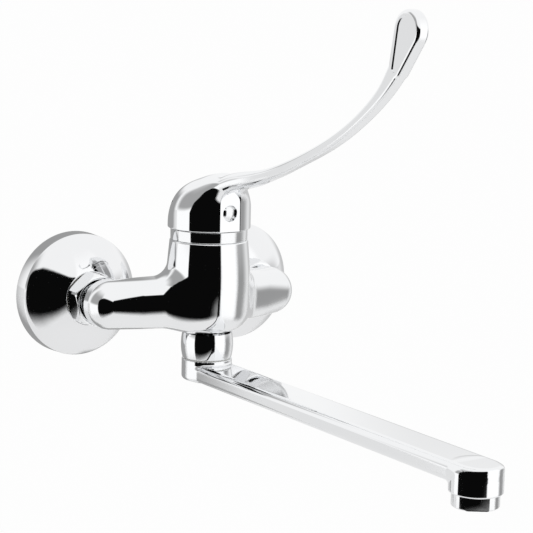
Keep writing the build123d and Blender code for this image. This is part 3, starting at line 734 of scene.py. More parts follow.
@dataclass
class BodyCasting:
    """Upright barrel with two arms that end in elbows towards the wall.

    Attributes:
        reach: Distance of the swivel axis from the wall.
        arm_reach: Distance of the arms' axis from the wall.
        stub_reach: Distance of the elbows' ends from the wall.
        inlet_x: Distance of an inlet's axis from the middle.
        arm_radius: Radius of elbows and of the arms' thin ends.
        root: Radius and rise of the arms' axis where they meet the barrel's axis.
        square: Power of the arms' section: 2 is a circle, more is squarer.
        square_fade: Length before the elbow over which the section turns round again.
        blend: Fillet between barrel and arms.
        mouth_z: Height of the barrel's mouth.
        mouth_round: Rounding of the mouth's edge.
        foot_z: Height of the foot's face.
        foot_round: Rounding of the foot.
        nut_room: Radius of the spot-face round a union nut.
        nut_front: Distance of that spot-face from the wall.
        room_edge: Rounding of the spot-face's edge.
        hollows: Bottom, top and radius of the barrel's bores: cartridge seat, nut thread,
            spout socket and mixed water's way.
        water_way: Radius of the arms' bores, and how far they run towards the barrel's axis.
        inlet_bore: Radius and length of an inlet's bore.
        core_radius: Radius of the plain barrel that the field then shapes.
        grain: Mesh size.
    """

    reach: float = AXIS_REACH
    arm_reach: float = 47.5
    stub_reach: float = 41.5
    inlet_x: float = INLET_X
    arm_radius: float = 14.3
    root: tuple[float, float] = (15.8, 2.2)
    square: float = 2.6
    square_fade: float = 18.0
    blend: float = 8.0
    mouth_z: float = 38.0
    mouth_round: float = 0.8
    foot_z: float = -17.0
    foot_round: float = 5.1
    nut_room: float = 17.8
    nut_front: float = 37.5
    room_edge: float = 0.5
    hollows: tuple[Span, ...] = ((10, 60, 17.6), (30, 60, 19.5), (-30, -7, 11.5), (-8, 11, 5.0))
    water_way: tuple[float, float] = (5.0, 0.8)
    inlet_bore: tuple[float, float] = (10.5, 12.0)
    core_radius: float = 23.6
    grain: float = 0.66

    def __post_init__(self) -> None:
        """Fix the barrel's outline: height against radius."""
        self.flank = Curve(
            [(38, 22.9), (26, 24.0), (11, 24.65), (-2.4, 23.8), (-10, 21.8), (-14.5, 18.0)]
        )

    def field(self, p: np.ndarray) -> np.ndarray:
        """Signed distance to the casting's outside.

        Args:
            p: Points, one per row, in millimetres.

        Returns:
            One distance per point, negative inside.
        """
        x, y, z = p.T
        radius, slope = self.flank(z)
        side = (np.hypot(x, y + self.reach) - radius) / np.sqrt(1 + slope**2)
        barrel = round_meet(side, self.foot_z - z, self.foot_round)
        off = np.abs(x) - self.inlet_x
        root_radius, rise = self.root
        way = np.array((self.inlet_x, self.reach - self.arm_reach, -rise))
        length = np.linalg.norm(way)
        off_root = np.stack((np.abs(x), y + self.reach, z - rise), axis=1)
        along = off_root @ (way / length)
        taper = root_radius + (self.arm_radius - root_radius) * np.clip(along / length, 0, 1)
        square = np.interp(along, (length - self.square_fade, length), (self.square, 2.0))
        beside = off_root - along[:, None] * way / length
        level = np.hypot(beside[:, 0], beside[:, 1])
        across = (level**square + np.abs(beside[:, 2]) ** square) ** (1 / square)
        arm = np.hypot(across, np.maximum(along - length, 0)) - taper
        bore = np.hypot(off, z)
        stub = np.hypot(bore, np.maximum(-self.arm_reach - y, 0)) - self.arm_radius
        shape = round_join(barrel, np.minimum(arm, stub), self.blend)
        past_stub = self.arm_radius + 0.05
        for radius_cut, reach_cut in (
            (past_stub, self.stub_reach),
            (self.nut_room, self.nut_front),
        ):
            room = np.maximum(bore - radius_cut, -reach_cut - y)
            shape = round_meet(shape, -room, self.room_edge)
        return round_meet(shape, z - self.mouth_z, self.mouth_round)

    def build(self) -> bpy.types.Object:
        """Cast the body, bore it and plate it.

        Returns:
            The finished piece.
        """
        bm = bmesh.new()
        axis = Vector((0, -self.reach, 0))
        rod(bm, axis + UP * (self.foot_z + 1), axis + UP * self.mouth_z, self.core_radius, 96)
        bores = [(axis + UP * low, axis + UP * high, radius) for low, high, radius in self.hollows]
        way_radius, way_share = self.water_way
        inlet_radius, inlet_length = self.inlet_bore
        for side in Side:
            corner = Vector((side.value * self.inlet_x, -self.arm_reach, 0))
            end = corner + WALLWARD * (self.arm_reach - self.stub_reach)
            rod(bm, axis, corner, self.arm_radius)
            ball(bm, corner, self.arm_radius)
            rod(bm, corner, end, self.arm_radius)
            half = WALLWARD * (inlet_length / 2)
            bores.append((end - half, end + half, inlet_radius))
            bores.append((corner, corner.lerp(axis, way_share), way_radius))
        casting = Casting("body_casting", self.field, self.grain, bores)
        obj = casting.form(bm)
        casting.polish(obj)
        return install(obj, "tap_body", CHROME)


# ---------------------------------------------------------------- lever


@dataclass
class Lever:
    """Cap with a crowned top and a long curved arm that ends in a paddle.

    Attributes:
        reach: Distance of the swivel axis from the wall.
        rim_z: Height of the cap's lower rim.
        cap_radius: Radius of the cap.
        crown: Centre of the crowned top in y and z, and its radius.
        crown_round: Rounding between the cap's side and its top, at the back.
        front_round: How much larger that rounding is at its largest, beside the front.
        front_peak: Where it is largest and how wide that is, as cosines of the turn from
            the front.
        rim_round: Rounding of the lower rim.
        melt: Width over which the arm's root melts into the cap.
        hood_start: Where the arm's root begins, inside the cap.
        arm_end: How far the arm runs on into the paddle, past the narrow end's centre.
        paddle: Centre in y and z and radius of the paddle's round end.
        shoulder: The same of the paddle's narrow end.
        blade_half: Half of the arm's thickness.
        panel: Half width, depth place, top and front of the arched flat.
        screw_z: Height of the screw hole.
        plug_radius: Radius of the screw hole's mouth.
        plug_depth: Depth of the screw hole's mouth behind the panel.
        screw_radius: Radius of the screw hole behind the plug.
        seat: Half width and top of the spindle's square seat.
        walls: Thickness of the cap's side and of its crown.
        hollow: Bottom and top of the room under the cap.
        boss: Bottom, top and radius of the boss round the spindle's seat.
        rib: Corners of the rib between the boss and the front.
        front_wall: Corners of the thick wall behind the panel.
        recess: Radii of the teardrop's two ends, and its depth.
        edge: Rounding of the arm's edges at places along it, from its far part to the root.
        neck_melt: Width over which the arm melts into the paddle.
        grain: Mesh size.
    """

    reach: float = AXIS_REACH
    rim_z: float = 44.9
    cap_radius: float = 24.2
    crown: tuple[float, float, float] = (-91.7, 24.1, 55.4)
    crown_round: float = 6.5
    front_round: float = 9.0
    front_peak: tuple[float, float] = (0.6, 0.6)
    rim_round: float = 0.6
    melt: float = 5.0
    hood_start: float = -74.0
    arm_end: float = 3.0
    paddle: tuple[float, float, float] = (-252.1, 166.9, 10.3)
    shoulder: tuple[float, float, float] = (-243.6, 147.6, 5.3)
    blade_half: float = 3.6
    panel: tuple[float, float, float, float] = (6.8, -89.25, 69.0, -100.0)
    screw_z: float = 55.6
    plug_radius: float = 4.75
    plug_depth: float = 2.7
    screw_radius: float = 3.0
    seat: tuple[float, float] = (4.05, 63.6)
    walls: tuple[float, float] = (1.5, 2.4)
    hollow: tuple[float, float] = (40, 61)
    boss: Span = (52, 66, 8.5)
    rib: tuple[Span, Span] = ((-5.5, -95, 50), (5.5, -70.6, 66))
    front_wall: tuple[Span, Span] = ((-8.3, -95, 38), (8.3, -87.75, 66))
    recess: tuple[float, float, float] = (7.1, 1.9, 0.55)
    edge: tuple[Point, ...] = ((-140, 1.9), (-122, 2.8), (-106, 4.6), (-92, 5.6))
    neck_melt: float = 0.4
    grain: float = 0.52

    def __post_init__(self) -> None:
        """Fix the arm's upper and lower edges and its half width along y."""
        self.top = Curve([
            (-70, 65), (-78, 70), (-84, 74.2), (-92, 78.3), (-104, 81.4), (-124, 84.6),
            (-144.4, 90.5), (-165.9, 98.6), (-189, 108.9), (-209.1, 120.4), (-223.6, 131.3),
            (-234.2, 142.7), (-238, 148.6),
        ])
        self.low = Curve([
            (-70, 60), (-84, 63), (-92, 67), (-100, 70.2), (-112, 73.3), (-126, 77.6),
            (-144.4, 84.1), (-158.1, 89.6), (-181.5, 99.3), (-201.6, 109.4), (-221.9, 122.3),
            (-242.5, 139.5), (-250.2, 147.9),
        ])
        self.half = Curve([
            (-70, 15), (-80, 12.8), (-92, 9.8), (-108, 6.7), (-126, 4.7), (-140, 3.7),
            (-146, 3.6), (-200, 3.6), (-260, 3.6),
        ])

    def drop(self, y: np.ndarray, z: np.ndarray, wide: float, narrow: float) -> np.ndarray:
        """Signed distance to a teardrop round the paddle's two centres, seen from the side.

        Args:
            y: Places towards the wall, in millimetres.
            z: Heights.
            wide: Radius of the round end.
            narrow: Radius of the narrow end.

        Returns:
            One distance per place, negative inside.
        """
        ay, az, _ = self.paddle
        by, bz, _ = self.shoulder
        length = math.hypot(by - ay, bz - az)
        uy, uz = (by - ay) / length, (bz - az) / length
        along = (y - ay) * uy + (z - az) * uz
        across = np.abs((z - az) * uy - (y - ay) * uz)
        b = (wide - narrow) / length
        a = math.sqrt(1 - b * b)
        k = a * along - b * across
        mid = a * across + b * along - wide
        round_end = np.hypot(across, along) - wide
        narrow_end = np.hypot(across, along - length) - narrow
        ends = np.where(k < 0, round_end, narrow_end)
        return np.where((k < 0) | (k > a * length), ends, mid)

    def field(self, p: np.ndarray) -> np.ndarray:
        """Signed distance to the lever's outside.

        Args:
            p: Points, one per row, in millimetres.

        Returns:
            One distance per point, negative inside.
        """
        x, y, z = p.T
        top, top_slope = self.top(y)
        low, low_slope = self.low(y)
        over = (z - top) / np.sqrt(1 + top_slope**2)
        under = (low - z) / np.sqrt(1 + low_slope**2)
        (ay, az, wide), (by, bz, narrow) = self.paddle, self.shoulder
        past = ((y - by) * (ay - by) + (z - bz) * (az - bz)) / math.hypot(ay - by, az - bz)
        arm = np.maximum(np.maximum(over, under), past - self.arm_end)
        outline = soft_join(arm, self.drop(y, z, wide, narrow), self.neck_melt)
        half, half_slope = self.half(y)
        flank = (np.abs(x) - half) / np.sqrt(1 + half_slope**2)
        arm = round_meet(outline, flank, np.interp(y, *zip(*self.edge)))
        arm = np.maximum(arm, y - self.hood_start)
        cy, cz, cr = self.crown
        dome = np.sqrt(x * x + (y - cy) ** 2 + (z - cz) ** 2) - cr
        radius = np.hypot(x, y + self.reach)
        front = -(y + self.reach) / np.maximum(radius, 1.0)
        peak, spread = self.front_peak
        rounding = self.crown_round + self.front_round * np.exp(-(((front - peak) / spread) ** 2))
        cap = round_meet(radius - self.cap_radius, dome, rounding)
        cap = round_meet(cap, self.rim_z - z, self.rim_round)
        return soft_join(cap, arm, self.melt)

    def rough(self) -> bmesh.types.BMesh:
        """Overlapping solids near the lever's surface.

        Returns:
            The solids in one mesh.
        """
        bm = bmesh.new()
        axis = Vector((0, -self.reach, 0))
        rod(bm, axis + UP * self.rim_z, axis + UP * 68, self.cap_radius, 96)
        crest = axis - WALLWARD * 5
        rod(bm, crest + UP * 60, crest + UP * 76, self.cap_radius - 8, 64)
        root, tip, last_top = -80.0, -242.0, -238
        places = np.linspace(root, tip, 55)
        tops, lows, halves = self.top(places)[0], self.low(places)[0], self.half(places)[0]
        rings = []
        for y, z1, z0, w in zip(places, tops, lows, halves):
            if y < last_top:
                z1 = self.shoulder[1]
            corners = ((-w, z0), (w, z0), (w, z1), (-w, z1))
            rings.append([bm.verts.new((cx, y, cz)) for cx, cz in corners])
        for one, two in zip(rings, rings[1:]):
            for i in range(4):
                bm.faces.new((one[i], one[(i + 1) % 4], two[(i + 1) % 4], two[i]))
        bm.faces.new(rings[0][::-1])
        bm.faces.new(rings[-1])
        ends = (Vector(self.paddle), Vector(self.shoulder))
        for share in (0.0, 0.25, 0.5, 0.75, 1.0):
            y, z, r = ends[0].lerp(ends[1], share)
            rod(bm, Vector((-self.blade_half, y, z)), Vector((self.blade_half, y, z)), r, 64)
        bmesh.ops.recalc_face_normals(bm, faces=bm.faces)
        return bm

    def room(self) -> bpy.types.Object:
        """Hollow under the cap, with the boss and the rib left standing.

        Returns:
            The cutting tool.
        """
        axis = Vector((0, -self.reach, 0))
        side_wall, crown_wall = self.walls
        radius = self.cap_radius - side_wall
        low, high = self.hollow
        tool = drill("room", axis + UP * low, axis + UP * high, radius, 96)
        inner = bmesh.new()
        ball(inner, Vector((0, self.crown[0], self.crown[1])), self.crown[2] - crown_wall)
        combine(tool, link("crown_inside", inner), "INTERSECT")
        low, high, radius = self.boss
        boss = drill("boss", axis + UP * low, axis + UP * high, radius, 64)
        return cut_away(tool, [boss, chisel("rib", *self.rib), chisel("wall", *self.front_wall)])

    def tools(self) -> list[bpy.types.Object]:
        """Cutting tools for the panel, the screw hole, the spindle's seat and the teardrops.

        Returns:
            The tools, in the order in which they cut.
        """
        half, back, top, front = self.panel
        arch = [Vector((-half, front, 38)), Vector((half, front, 38))]
        for i in range(25):
            turn = math.pi * i / 24
            rise = top - half + half * math.sin(turn)
            arch.append(Vector((half * math.cos(turn), front, rise)))
        screw = Vector((0, 0, self.screw_z))
        mouth = screw + WALLWARD * (back + self.plug_depth)
        axis_y = -self.reach
        spindle = screw + WALLWARD * axis_y
        square, seat_top = self.seat
        made = [
            self.prism("panel", arch, WALLWARD * (back - front)),
            drill("plug_hole", screw - WALLWARD * 95, mouth, self.plug_radius),
            drill("screw_hole", screw - WALLWARD * 90, spindle, self.screw_radius),
            chisel("seat", (-square, axis_y - square, 40), (square, axis_y + square, seat_top)),
        ]
        wide, narrow, depth = self.recess
        border = self.border(wide, narrow)
        for sign in (-1, 1):
            start = sign * (self.blade_half - depth)
            ring = [Vector((start, y, z)) for y, z in border]
            made.append(self.prism("teardrop", ring, Vector((sign * 3, 0, 0))))
        return made

    def border(self, wide: float, narrow: float, steps: int = 40) -> list[Point]:
        """Points round a teardrop about the paddle's two centres, seen from the side.

        Args:
            wide: Radius of the round end.
            narrow: Radius of the narrow end.
            steps: Steps round the round end, and twice those round the narrow one.

        Returns:
            Pairs of y and z, in millimetres.
        """
        ay, az, _ = self.paddle
        by, bz, _ = self.shoulder
        length = math.hypot(by - ay, bz - az)
        heading = math.atan2(bz - az, by - ay)
        lean = math.acos((wide - narrow) / length)
        points = []
        for i in range(steps + 1):
            turn = heading + lean + (2 * math.pi - 2 * lean) * i / steps
            points.append((ay + wide * math.cos(turn), az + wide * math.sin(turn)))
        for i in range(steps // 2 + 1):
            turn = heading - lean + 2 * lean * i / (steps // 2)
            points.append((by + narrow * math.cos(turn), bz + narrow * math.sin(turn)))
        return points

    def prism(self, name: str, ring: Sequence[Vector], way: Vector) -> bpy.types.Object:
        """Extrude a flat ring of points into a closed tool.

        Args:
            name: Tool name.
            ring: Corners in order, in millimetres.
            way: Direction and length of the extrusion.

        Returns:
            The tool.
        """
        bm = bmesh.new()
        face = bm.faces.new([bm.verts.new(v) for v in ring])
        moved = bmesh.ops.extrude_face_region(bm, geom=[face])
        verts = [g for g in moved["geom"] if isinstance(g, bmesh.types.BMVert)]
        bmesh.ops.translate(bm, vec=way, verts=verts)
        bmesh.ops.recalc_face_normals(bm, faces=bm.faces)
        return link(name, bm)

    def build(self) -> bpy.types.Object:
        """Cast the lever, cut its flats and holes, and plate it.

        Returns:
            The finished piece.
        """
        casting = Casting("lever_casting", self.field, self.grain)
        obj = casting.form(self.rough())
        cut_away(obj, [self.room(), *self.tools()])
        casting.polish(obj)
        return install(obj, "lever", CHROME)

    def build_plug(self) -> bpy.types.Object:
        """Domed plug in the screw hole, its top just behind the panel.

        Returns:
            The finished piece.
        """
        rim = self.panel[1] + 1.45
        swell = 1.3
        radius, back = 4.66, 1.25
        profile = []
        for i in range(13):
            share = i / 12
            dome = math.sqrt(1 - 0.72 * share**2) - 0.529 * share**2  # level with the rim at 1
            profile.append((radius * share, -swell * dome, 0))
        profile += [(radius + 0.02, back, 0.2), (0.0, back, 0)]
        centre = Vector((0, rim, self.screw_z))
        plug = turned("domed_plug", profile, centre, WALLWARD, 64, False)
        return install(plug, "screw_plug", CHROME_TRIM)


# ---------------------------------------------------------------- spout


@dataclass
class SpoutAssembly:
    """Collar under the body, swivel spout and aerator ring.

    Attributes:
        reach: Distance of the swivel axis from the wall.
        outlet_reach: Distance of the aerator's axis from the swivel axis.
        half_width: Half of the bar's width.
        bar_z: Bottom and top of the bar.
        bar_round: Rounding of the bar's lower and upper edges.
        head: Radius and top of the round head.
        head_round: Rounding of the head's upper edge.
        nose_reach: Distance of the nose from the aerator's axis.
        nose_corner: Corner radius of the nose, seen from above.
        nose_round: Rounding of the nose's upper edge.
        block: Radius, bottom and lower rounding of the end block.
        shoulder: How far the block's top lies under the bar's.
        fillet: Fillet between head and bar, and behind the block.
        fillet_fade: Length behind the outlet over which that fillet grows.
        nose_fade: Where behind the tip its rounding gives way to the bar's.
        bar_inset: How far the plain bar lies inside the sides, the nose and the flats that
            the field then gives it.
        block_inset: How far the plain block lies inside the bar's sides and top.
        flats: Distance of the wrench flats from the aerator's axis, and the turn of the
            first, in degrees.
        head_hollows: Bottom, top and radius of the bores in the head.
        block_hollows: Bottom, top and radius of the bores in the end block.
        grain: Mesh size.
    """

    reach: float = AXIS_REACH
    outlet_reach: float = 249.0
    half_width: float = 12.7
    bar_z: tuple[float, float] = (-45.3, -35.3)
    bar_round: tuple[float, float] = (3.2, 3.8)
    head: tuple[float, float] = (14.8, -32.7)
    head_round: float = 0.5
    nose_reach: float = 13.6
    nose_corner: float = 12.4
    nose_round: float = 1.6
    block: tuple[float, float, float] = (13.4, -50.0, 1.0)
    shoulder: float = 0.6
    fillet: float = 1.5
    fillet_fade: float = 8.0
    nose_fade: tuple[float, float] = (1.0, 9.0)
    bar_inset: tuple[float, float, float] = (0.8, 0.6, 0.4)
    block_inset: tuple[float, float] = (3.0, 2.0)
    flats: tuple[float, float] = (10.34, 56.0)
    head_hollows: tuple[Span, ...] = ((-37.5, -30, 9.0), (-43, -30, 7.2))
    block_hollows: tuple[Span, ...] = ((-55, -42, 11.0), (-55, -40, 8.8))
    grain: float = 0.58

    @property
    def outlet_y(self) -> float:
        """Place of the aerator's axis."""
        return -self.reach - self.outlet_reach

    def plan(self, x: np.ndarray, y: np.ndarray) -> np.ndarray:
        """Signed distance to the bar's outline from above, endless towards the wall."""
        nose = self.outlet_y - self.nose_reach
        return round_meet(np.abs(x) - self.half_width, nose - y, self.nose_corner)

    def field(self, p: np.ndarray) -> np.ndarray:
        """Signed distance to the spout's outside.

        Args:
            p: Points, one per row, in millimetres.

        Returns:
            One distance per point, negative inside.
        """
        x, y, z = p.T
        low, high = self.bar_z
        plan = self.plan(x, y)
        nose = self.outlet_y - self.nose_reach
        fade = (nose + self.nose_fade[0], nose + self.nose_fade[1])
        edge = np.interp(y, fade, (self.nose_round, self.bar_round[1]))
        bar = round_meet(round_meet(plan, z - high, edge), low - z, self.bar_round[0])
        bar = np.maximum(bar, y + self.reach)
        radius, top = self.head
        drum = round_meet(np.hypot(x, y + self.reach) - radius, z - top, self.head_round)
        drum = round_meet(drum, low - z, self.bar_round[0] - 1)
        shape = round_join(bar, drum, self.fillet)
        radius, bottom, lip = self.block
        post = np.hypot(x, y - self.outlet_y) - radius
        post = np.minimum(post, np.maximum(plan, y - self.outlet_y))
        post = round_meet(post, z - high + self.shoulder, self.bar_round[1])
        post = round_meet(post, bottom - z, lip)
        behind = np.clip((y - self.outlet_y) / self.fillet_fade, 0, 1)
        return round_join(shape, post, self.fillet * behind + 0.001)  # never zero

    def build(self) -> bpy.types.Object:
        """Cast the spout, bore it and plate it.

        Returns:
            The finished piece.
        """
        low, high = self.bar_z
        nose = self.outlet_y - self.nose_reach
        axis = Vector((0, -self.reach, 0))
        outlet = Vector((0, self.outlet_y, 0))
        beside, ahead, flat = self.bar_inset
        half, front = self.half_width - beside, nose + ahead
        bm = bmesh.new()
        block(bm, Vector((-half, front, low + flat)), Vector((half, -self.reach, high - flat)))
        radius, bottom, _ = self.block
        beside, above = self.block_inset
        half, top = self.half_width - beside, high - above
        rod(bm, axis + UP * low, axis + UP * self.head[1], self.head[0], 96)
        rod(bm, outlet + UP * bottom, outlet + UP * top, radius, 96)
        block(bm, Vector((-half, front, bottom)), Vector((half, self.outlet_y, top)))
        bores = [
            (foot + UP * start, foot + UP * end, bore)
            for foot, spans in ((axis, self.head_hollows), (outlet, self.block_hollows))
            for start, end, bore in spans
        ]
        casting = Casting("spout_casting", self.field, self.grain, bores)
        obj = casting.form(bm)
        casting.polish(obj)
        return install(obj, "spout", CHROME)

    def build_collar(self) -> bpy.types.Object:
        """Barrel-shaped collar that the spout turns in.

        Returns:
            The finished piece.
        """
        low, high = -32.2, -17.0
        half = (high - low) / 2
        belly, bulge, lean = 15.4, 0.9, 0.1
        profile = []
        for i in range(17):
            share = i / 8 - 1
            radius = belly - bulge * share**2 + lean * share
            profile.append((radius, low + half * (share + 1), 0.7 if i == 0 else 0.0))
        profile += [(11.5, high, 0), (11.5, -12.0, 0), (9.05, -12.0, 0), (9.05, low, 0)]
        obj = turned("spout_collar", profile, Vector((0, -self.reach, 0)), UP)
        return install(obj, "spout_socket", CHROME)

    def build_aerator(self) -> bpy.types.Object:
        """Ring under the end block, with two flats for a wrench.

        Returns:
            The finished piece.
        """
        profile = [
            (11.84, -50.0, 0), (11.84, -56.8, 0.7), (8.4, -56.8, 0.35), (8.4, -55.3, 0),
            (9.4, -55.3, 0), (9.4, -44.0, 0), (11.0, -44.0, 0), (11.0, -50.0, 0),
        ]
        obj = turned("aerator_ring", profile, Vector((0, self.outlet_y, 0)), UP)
        tools = []
        distance, first = self.flats
        for degrees in (first, first + 180):
            bm = bmesh.new()
            verts = block(bm, Vector((distance, -9, -58)), Vector((14, 9, -50.001)))
            turn = Matrix.Rotation(math.radians(degrees), 3, "Z")
            bmesh.ops.rotate(bm, cent=(0, 0, 0), matrix=turn, verts=verts)
            bmesh.ops.translate(bm, vec=(0, self.outlet_y, 0), verts=verts)
            tools.append(link("flat", bm))
        cut_away(obj, tools)
        smooth(obj)
        return install(obj, "aerator_housing", CHROME_TRIM)


# ---------------------------------------------------------------- wall connections


@dataclass
class WallConnection:
    """Rosette, union nut and collar of one inlet.

    Attributes:
        side: Which inlet.
        inlet_x: Distance of the inlet's axis from the middle.
        nut_flats: Distance across the nut's flats.
        nut_reach: Distances of the nut's back and front from the wall.
        nut_turn: Turn of the nut's corners, in degrees.
        nut_round: Rounding of the nut's corners, and of its ends.
        nut_chamfer: Angle of the nut's chamfers, in degrees.
        nut_hollows: Distances from the wall and radius of the nut's bores: thread and collar.
        rosette: Radii of the wall rim, its front edge and the neck.
        rosette_reach: Distances of the rim's front edge and the neck from the wall.
        bulge: How far the dome stands outside a straight cone.
        grain: Mesh size of the nut.
    """

    side: Side
    inlet_x: float = INLET_X
    nut_flats: float = 30.0
    nut_reach: tuple[float, float] = (25.0, 37.0)
    nut_turn: float = 19.4
    nut_round: tuple[float, float] = (0.5, 0.3)
    nut_chamfer: float = 30.0
    nut_hollows: tuple[Span, ...] = ((33, 20, 13.2), (40, 30, 10.3))
    rosette: tuple[float, float, float] = (36.9, 36.5, 16.2)
    rosette_reach: tuple[float, float] = (9.9, 24.0)
    bulge: float = 1.4
    grain: float = 0.42

    @property
    def centre(self) -> Vector:
        """Where the inlet's axis meets the wall."""
        return Vector((self.side.value * self.inlet_x, 0, 0))

    def nut_field(self, p: np.ndarray) -> np.ndarray:
        """Signed distance to the nut's outside.

        Args:
            p: Points, one per row, in millimetres.

        Returns:
            One distance per point, negative inside.
        """
        x = p[:, 0] - self.centre.x
        y, z = p[:, 1], p[:, 2]
        flats = []
        for k in range(3):
            turn = math.radians(self.side.value * self.nut_turn + 30 + 60 * k)
            flats.append(np.abs(x * math.cos(turn) + z * math.sin(turn)) - self.nut_flats / 2)
        corner, end = self.nut_round
        prism = round_meet(round_meet(flats[0], flats[1], corner), flats[2], corner)
        back, front = self.nut_reach
        along = np.abs(y + (back + front) / 2) - (front - back) / 2
        ends = round_meet(prism, along, end)
        slope = math.radians(self.nut_chamfer)
        outside = np.hypot(x, z) - self.nut_flats / 2
        cone = outside * math.sin(slope) + along * math.cos(slope)
        return round_meet(ends, cone, end)

    def build_nut(self) -> bpy.types.Object:
        """Hexagon union nut with chamfered ends.

        Returns:
            The finished piece.
        """
        back, front = self.nut_reach
        bm = bmesh.new()
        radius = self.nut_flats / 2
        rod(bm, self.centre - WALLWARD * front, self.centre - WALLWARD * back, radius + 1)
        bores = [
            (self.centre - WALLWARD * start, self.centre - WALLWARD * end, bore)
            for start, end, bore in self.nut_hollows
        ]
        casting = Casting(f"union_nut_{self.side.label}_hex", self.nut_field, self.grain, bores)
        obj = casting.form(bm)
        casting.polish(obj, 24)
        return install(obj, f"union_nut_{self.side.label}", CHROME)

    def build_nipple(self) -> bpy.types.Object:
        """Turned tail nipple with the collar that shows in front of the nut.

        Returns:
            The finished piece.
        """
        profile = [
            (7.5, -47.5, 0), (10.5, -47.5, 0), (10.5, -41.5, 0), (13.4, -41.5, 0.3),
            (13.4, -39.3, 0.5), (10.2, -39.3, 0.3), (10.2, -32.9, 0), (12.6, -32.9, 0.2),
            (12.6, -30.4, 0.2), (7.5, -30.4, 0),
        ]
        obj = turned(f"nipple_{self.side.label}", profile, self.centre, WALLWARD, 96)
        return install(obj, f"tail_nipple_{self.side.label}", CHROME)

    def build_rosette(self) -> bpy.types.Object:
        """Bell-shaped cover, spun from sheet, with its inner flange.

        Returns:
            The finished piece.
        """
        rim, front, neck = self.rosette
        rim_y, neck_y = self.rosette_reach
        wall = 1.0
        flange_radius, flange_y = 13.25, -22.4
        profile = [(rim, -0.02, 0.3), (front, -rim_y, 0.45)]
        inside = []
        for i in range(1, 16):
            share = i / 16
            r = front + (neck - front) * share
            y = -rim_y - (neck_y - rim_y) * share
            bow = 4 * share * (1 - share) * self.bulge * 1.414
            tilt = math.atan2(front - neck, neck_y - rim_y)
            point = (r + bow * math.cos(tilt), y - bow * math.sin(tilt), 0)
            profile.append(point)
            inside.append((point[0] - wall, point[1] + wall, 0))
        inner = neck - wall
        profile += [(neck, -neck_y, 0.5), (inner, -neck_y, 0.3), (inner, flange_y, 0)]
        profile += [(flange_radius, flange_y, 0), (flange_radius, flange_y + wall, 0)]
        profile += [(inner, flange_y + wall, 0)]
        profile += inside[::-1]
        profile += [(front - wall, wall - rim_y, 0), (rim - wall, -0.02, 0)]
        obj = turned(f"bell_rosette_{self.side.label}", profile, self.centre, WALLWARD, 160)
        return install(obj, f"rosette_{self.side.label}", CHROME_SHEET)

    def build(self) -> list[bpy.types.Object]:
        """Build the three pieces.

        Returns:
            Rosette, nut and nipple.
        """
        return [self.build_rosette(), self.build_nut(), self.build_nipple()]


# ---------------------------------------------------------------- cartridge and small parts


@dataclass
class InnerParts:
    """Ring over the cartridge, and finishes for the CAD pieces that stay.

    Attributes:
        reach: Distance of the ring's axis from the wall.
        radius: Radius of the ring.
        low: Height of its lower edge.
        high: Height of its upper edge.
    """

    reach: float = AXIS_REACH
    radius: float = 22.5
    low: float = 38.0
    high: float = 44.5

    def build_cover_ring(self) -> bpy.types.Object:
        """Ring between the lever's cap and the body.

        Returns:
            The finished piece.
        """
        profile = [
            (self.radius, self.low, 0.55), (self.radius, self.high, 0.35), (15.0, self.high, 0.3),
            (15.0, self.high - 1.5, 0), (19.5, self.high - 1.5, 0), (19.5, self.low, 0),
        ]
        obj = turned("cap_ring", profile, Vector((0, -self.reach, 0)), UP, 160)
        return install(obj, "cover_ring", CHROME_TRIM)

    def dress(self) -> int:
        """Give every CAD piece that stays its finish, by material slot.

        Returns:
            How many pieces were dressed.
        """
        finishes = {
            "chrome_cast": THREAD, "chrome_sheet": CHROME_SHEET, "chrome_trim": CHROME_TRIM,
            "brass": BRASS, "steel": STEEL, "plastic": ACETAL, "ceramic": CERAMIC, "rubber": RUBBER,
        }
        dressed = 0
        for node, obj in frame["nodes"].items():
            if obj.hide_render:
                continue
            obj.data.materials.clear()
            obj.data.materials.append(finishes[SLOTS[node]].make())
            smooth(obj)
            dressed += 1
        return dressed


# ---------------------------------------------------------------- studio


def toward(azimuth: float, elevation: float) -> Vector:
    """Unit direction by azimuth and elevation.

    Args:
        azimuth: Degrees from -Y, towards +X.
        elevation: Degrees above the horizon.

    Returns:
        The direction.
    """
    a, e = math.radians(azimuth), math.radians(elevation)
    return Vector((math.sin(a) * math.cos(e), -math.cos(a) * math.cos(e), math.sin(e)))


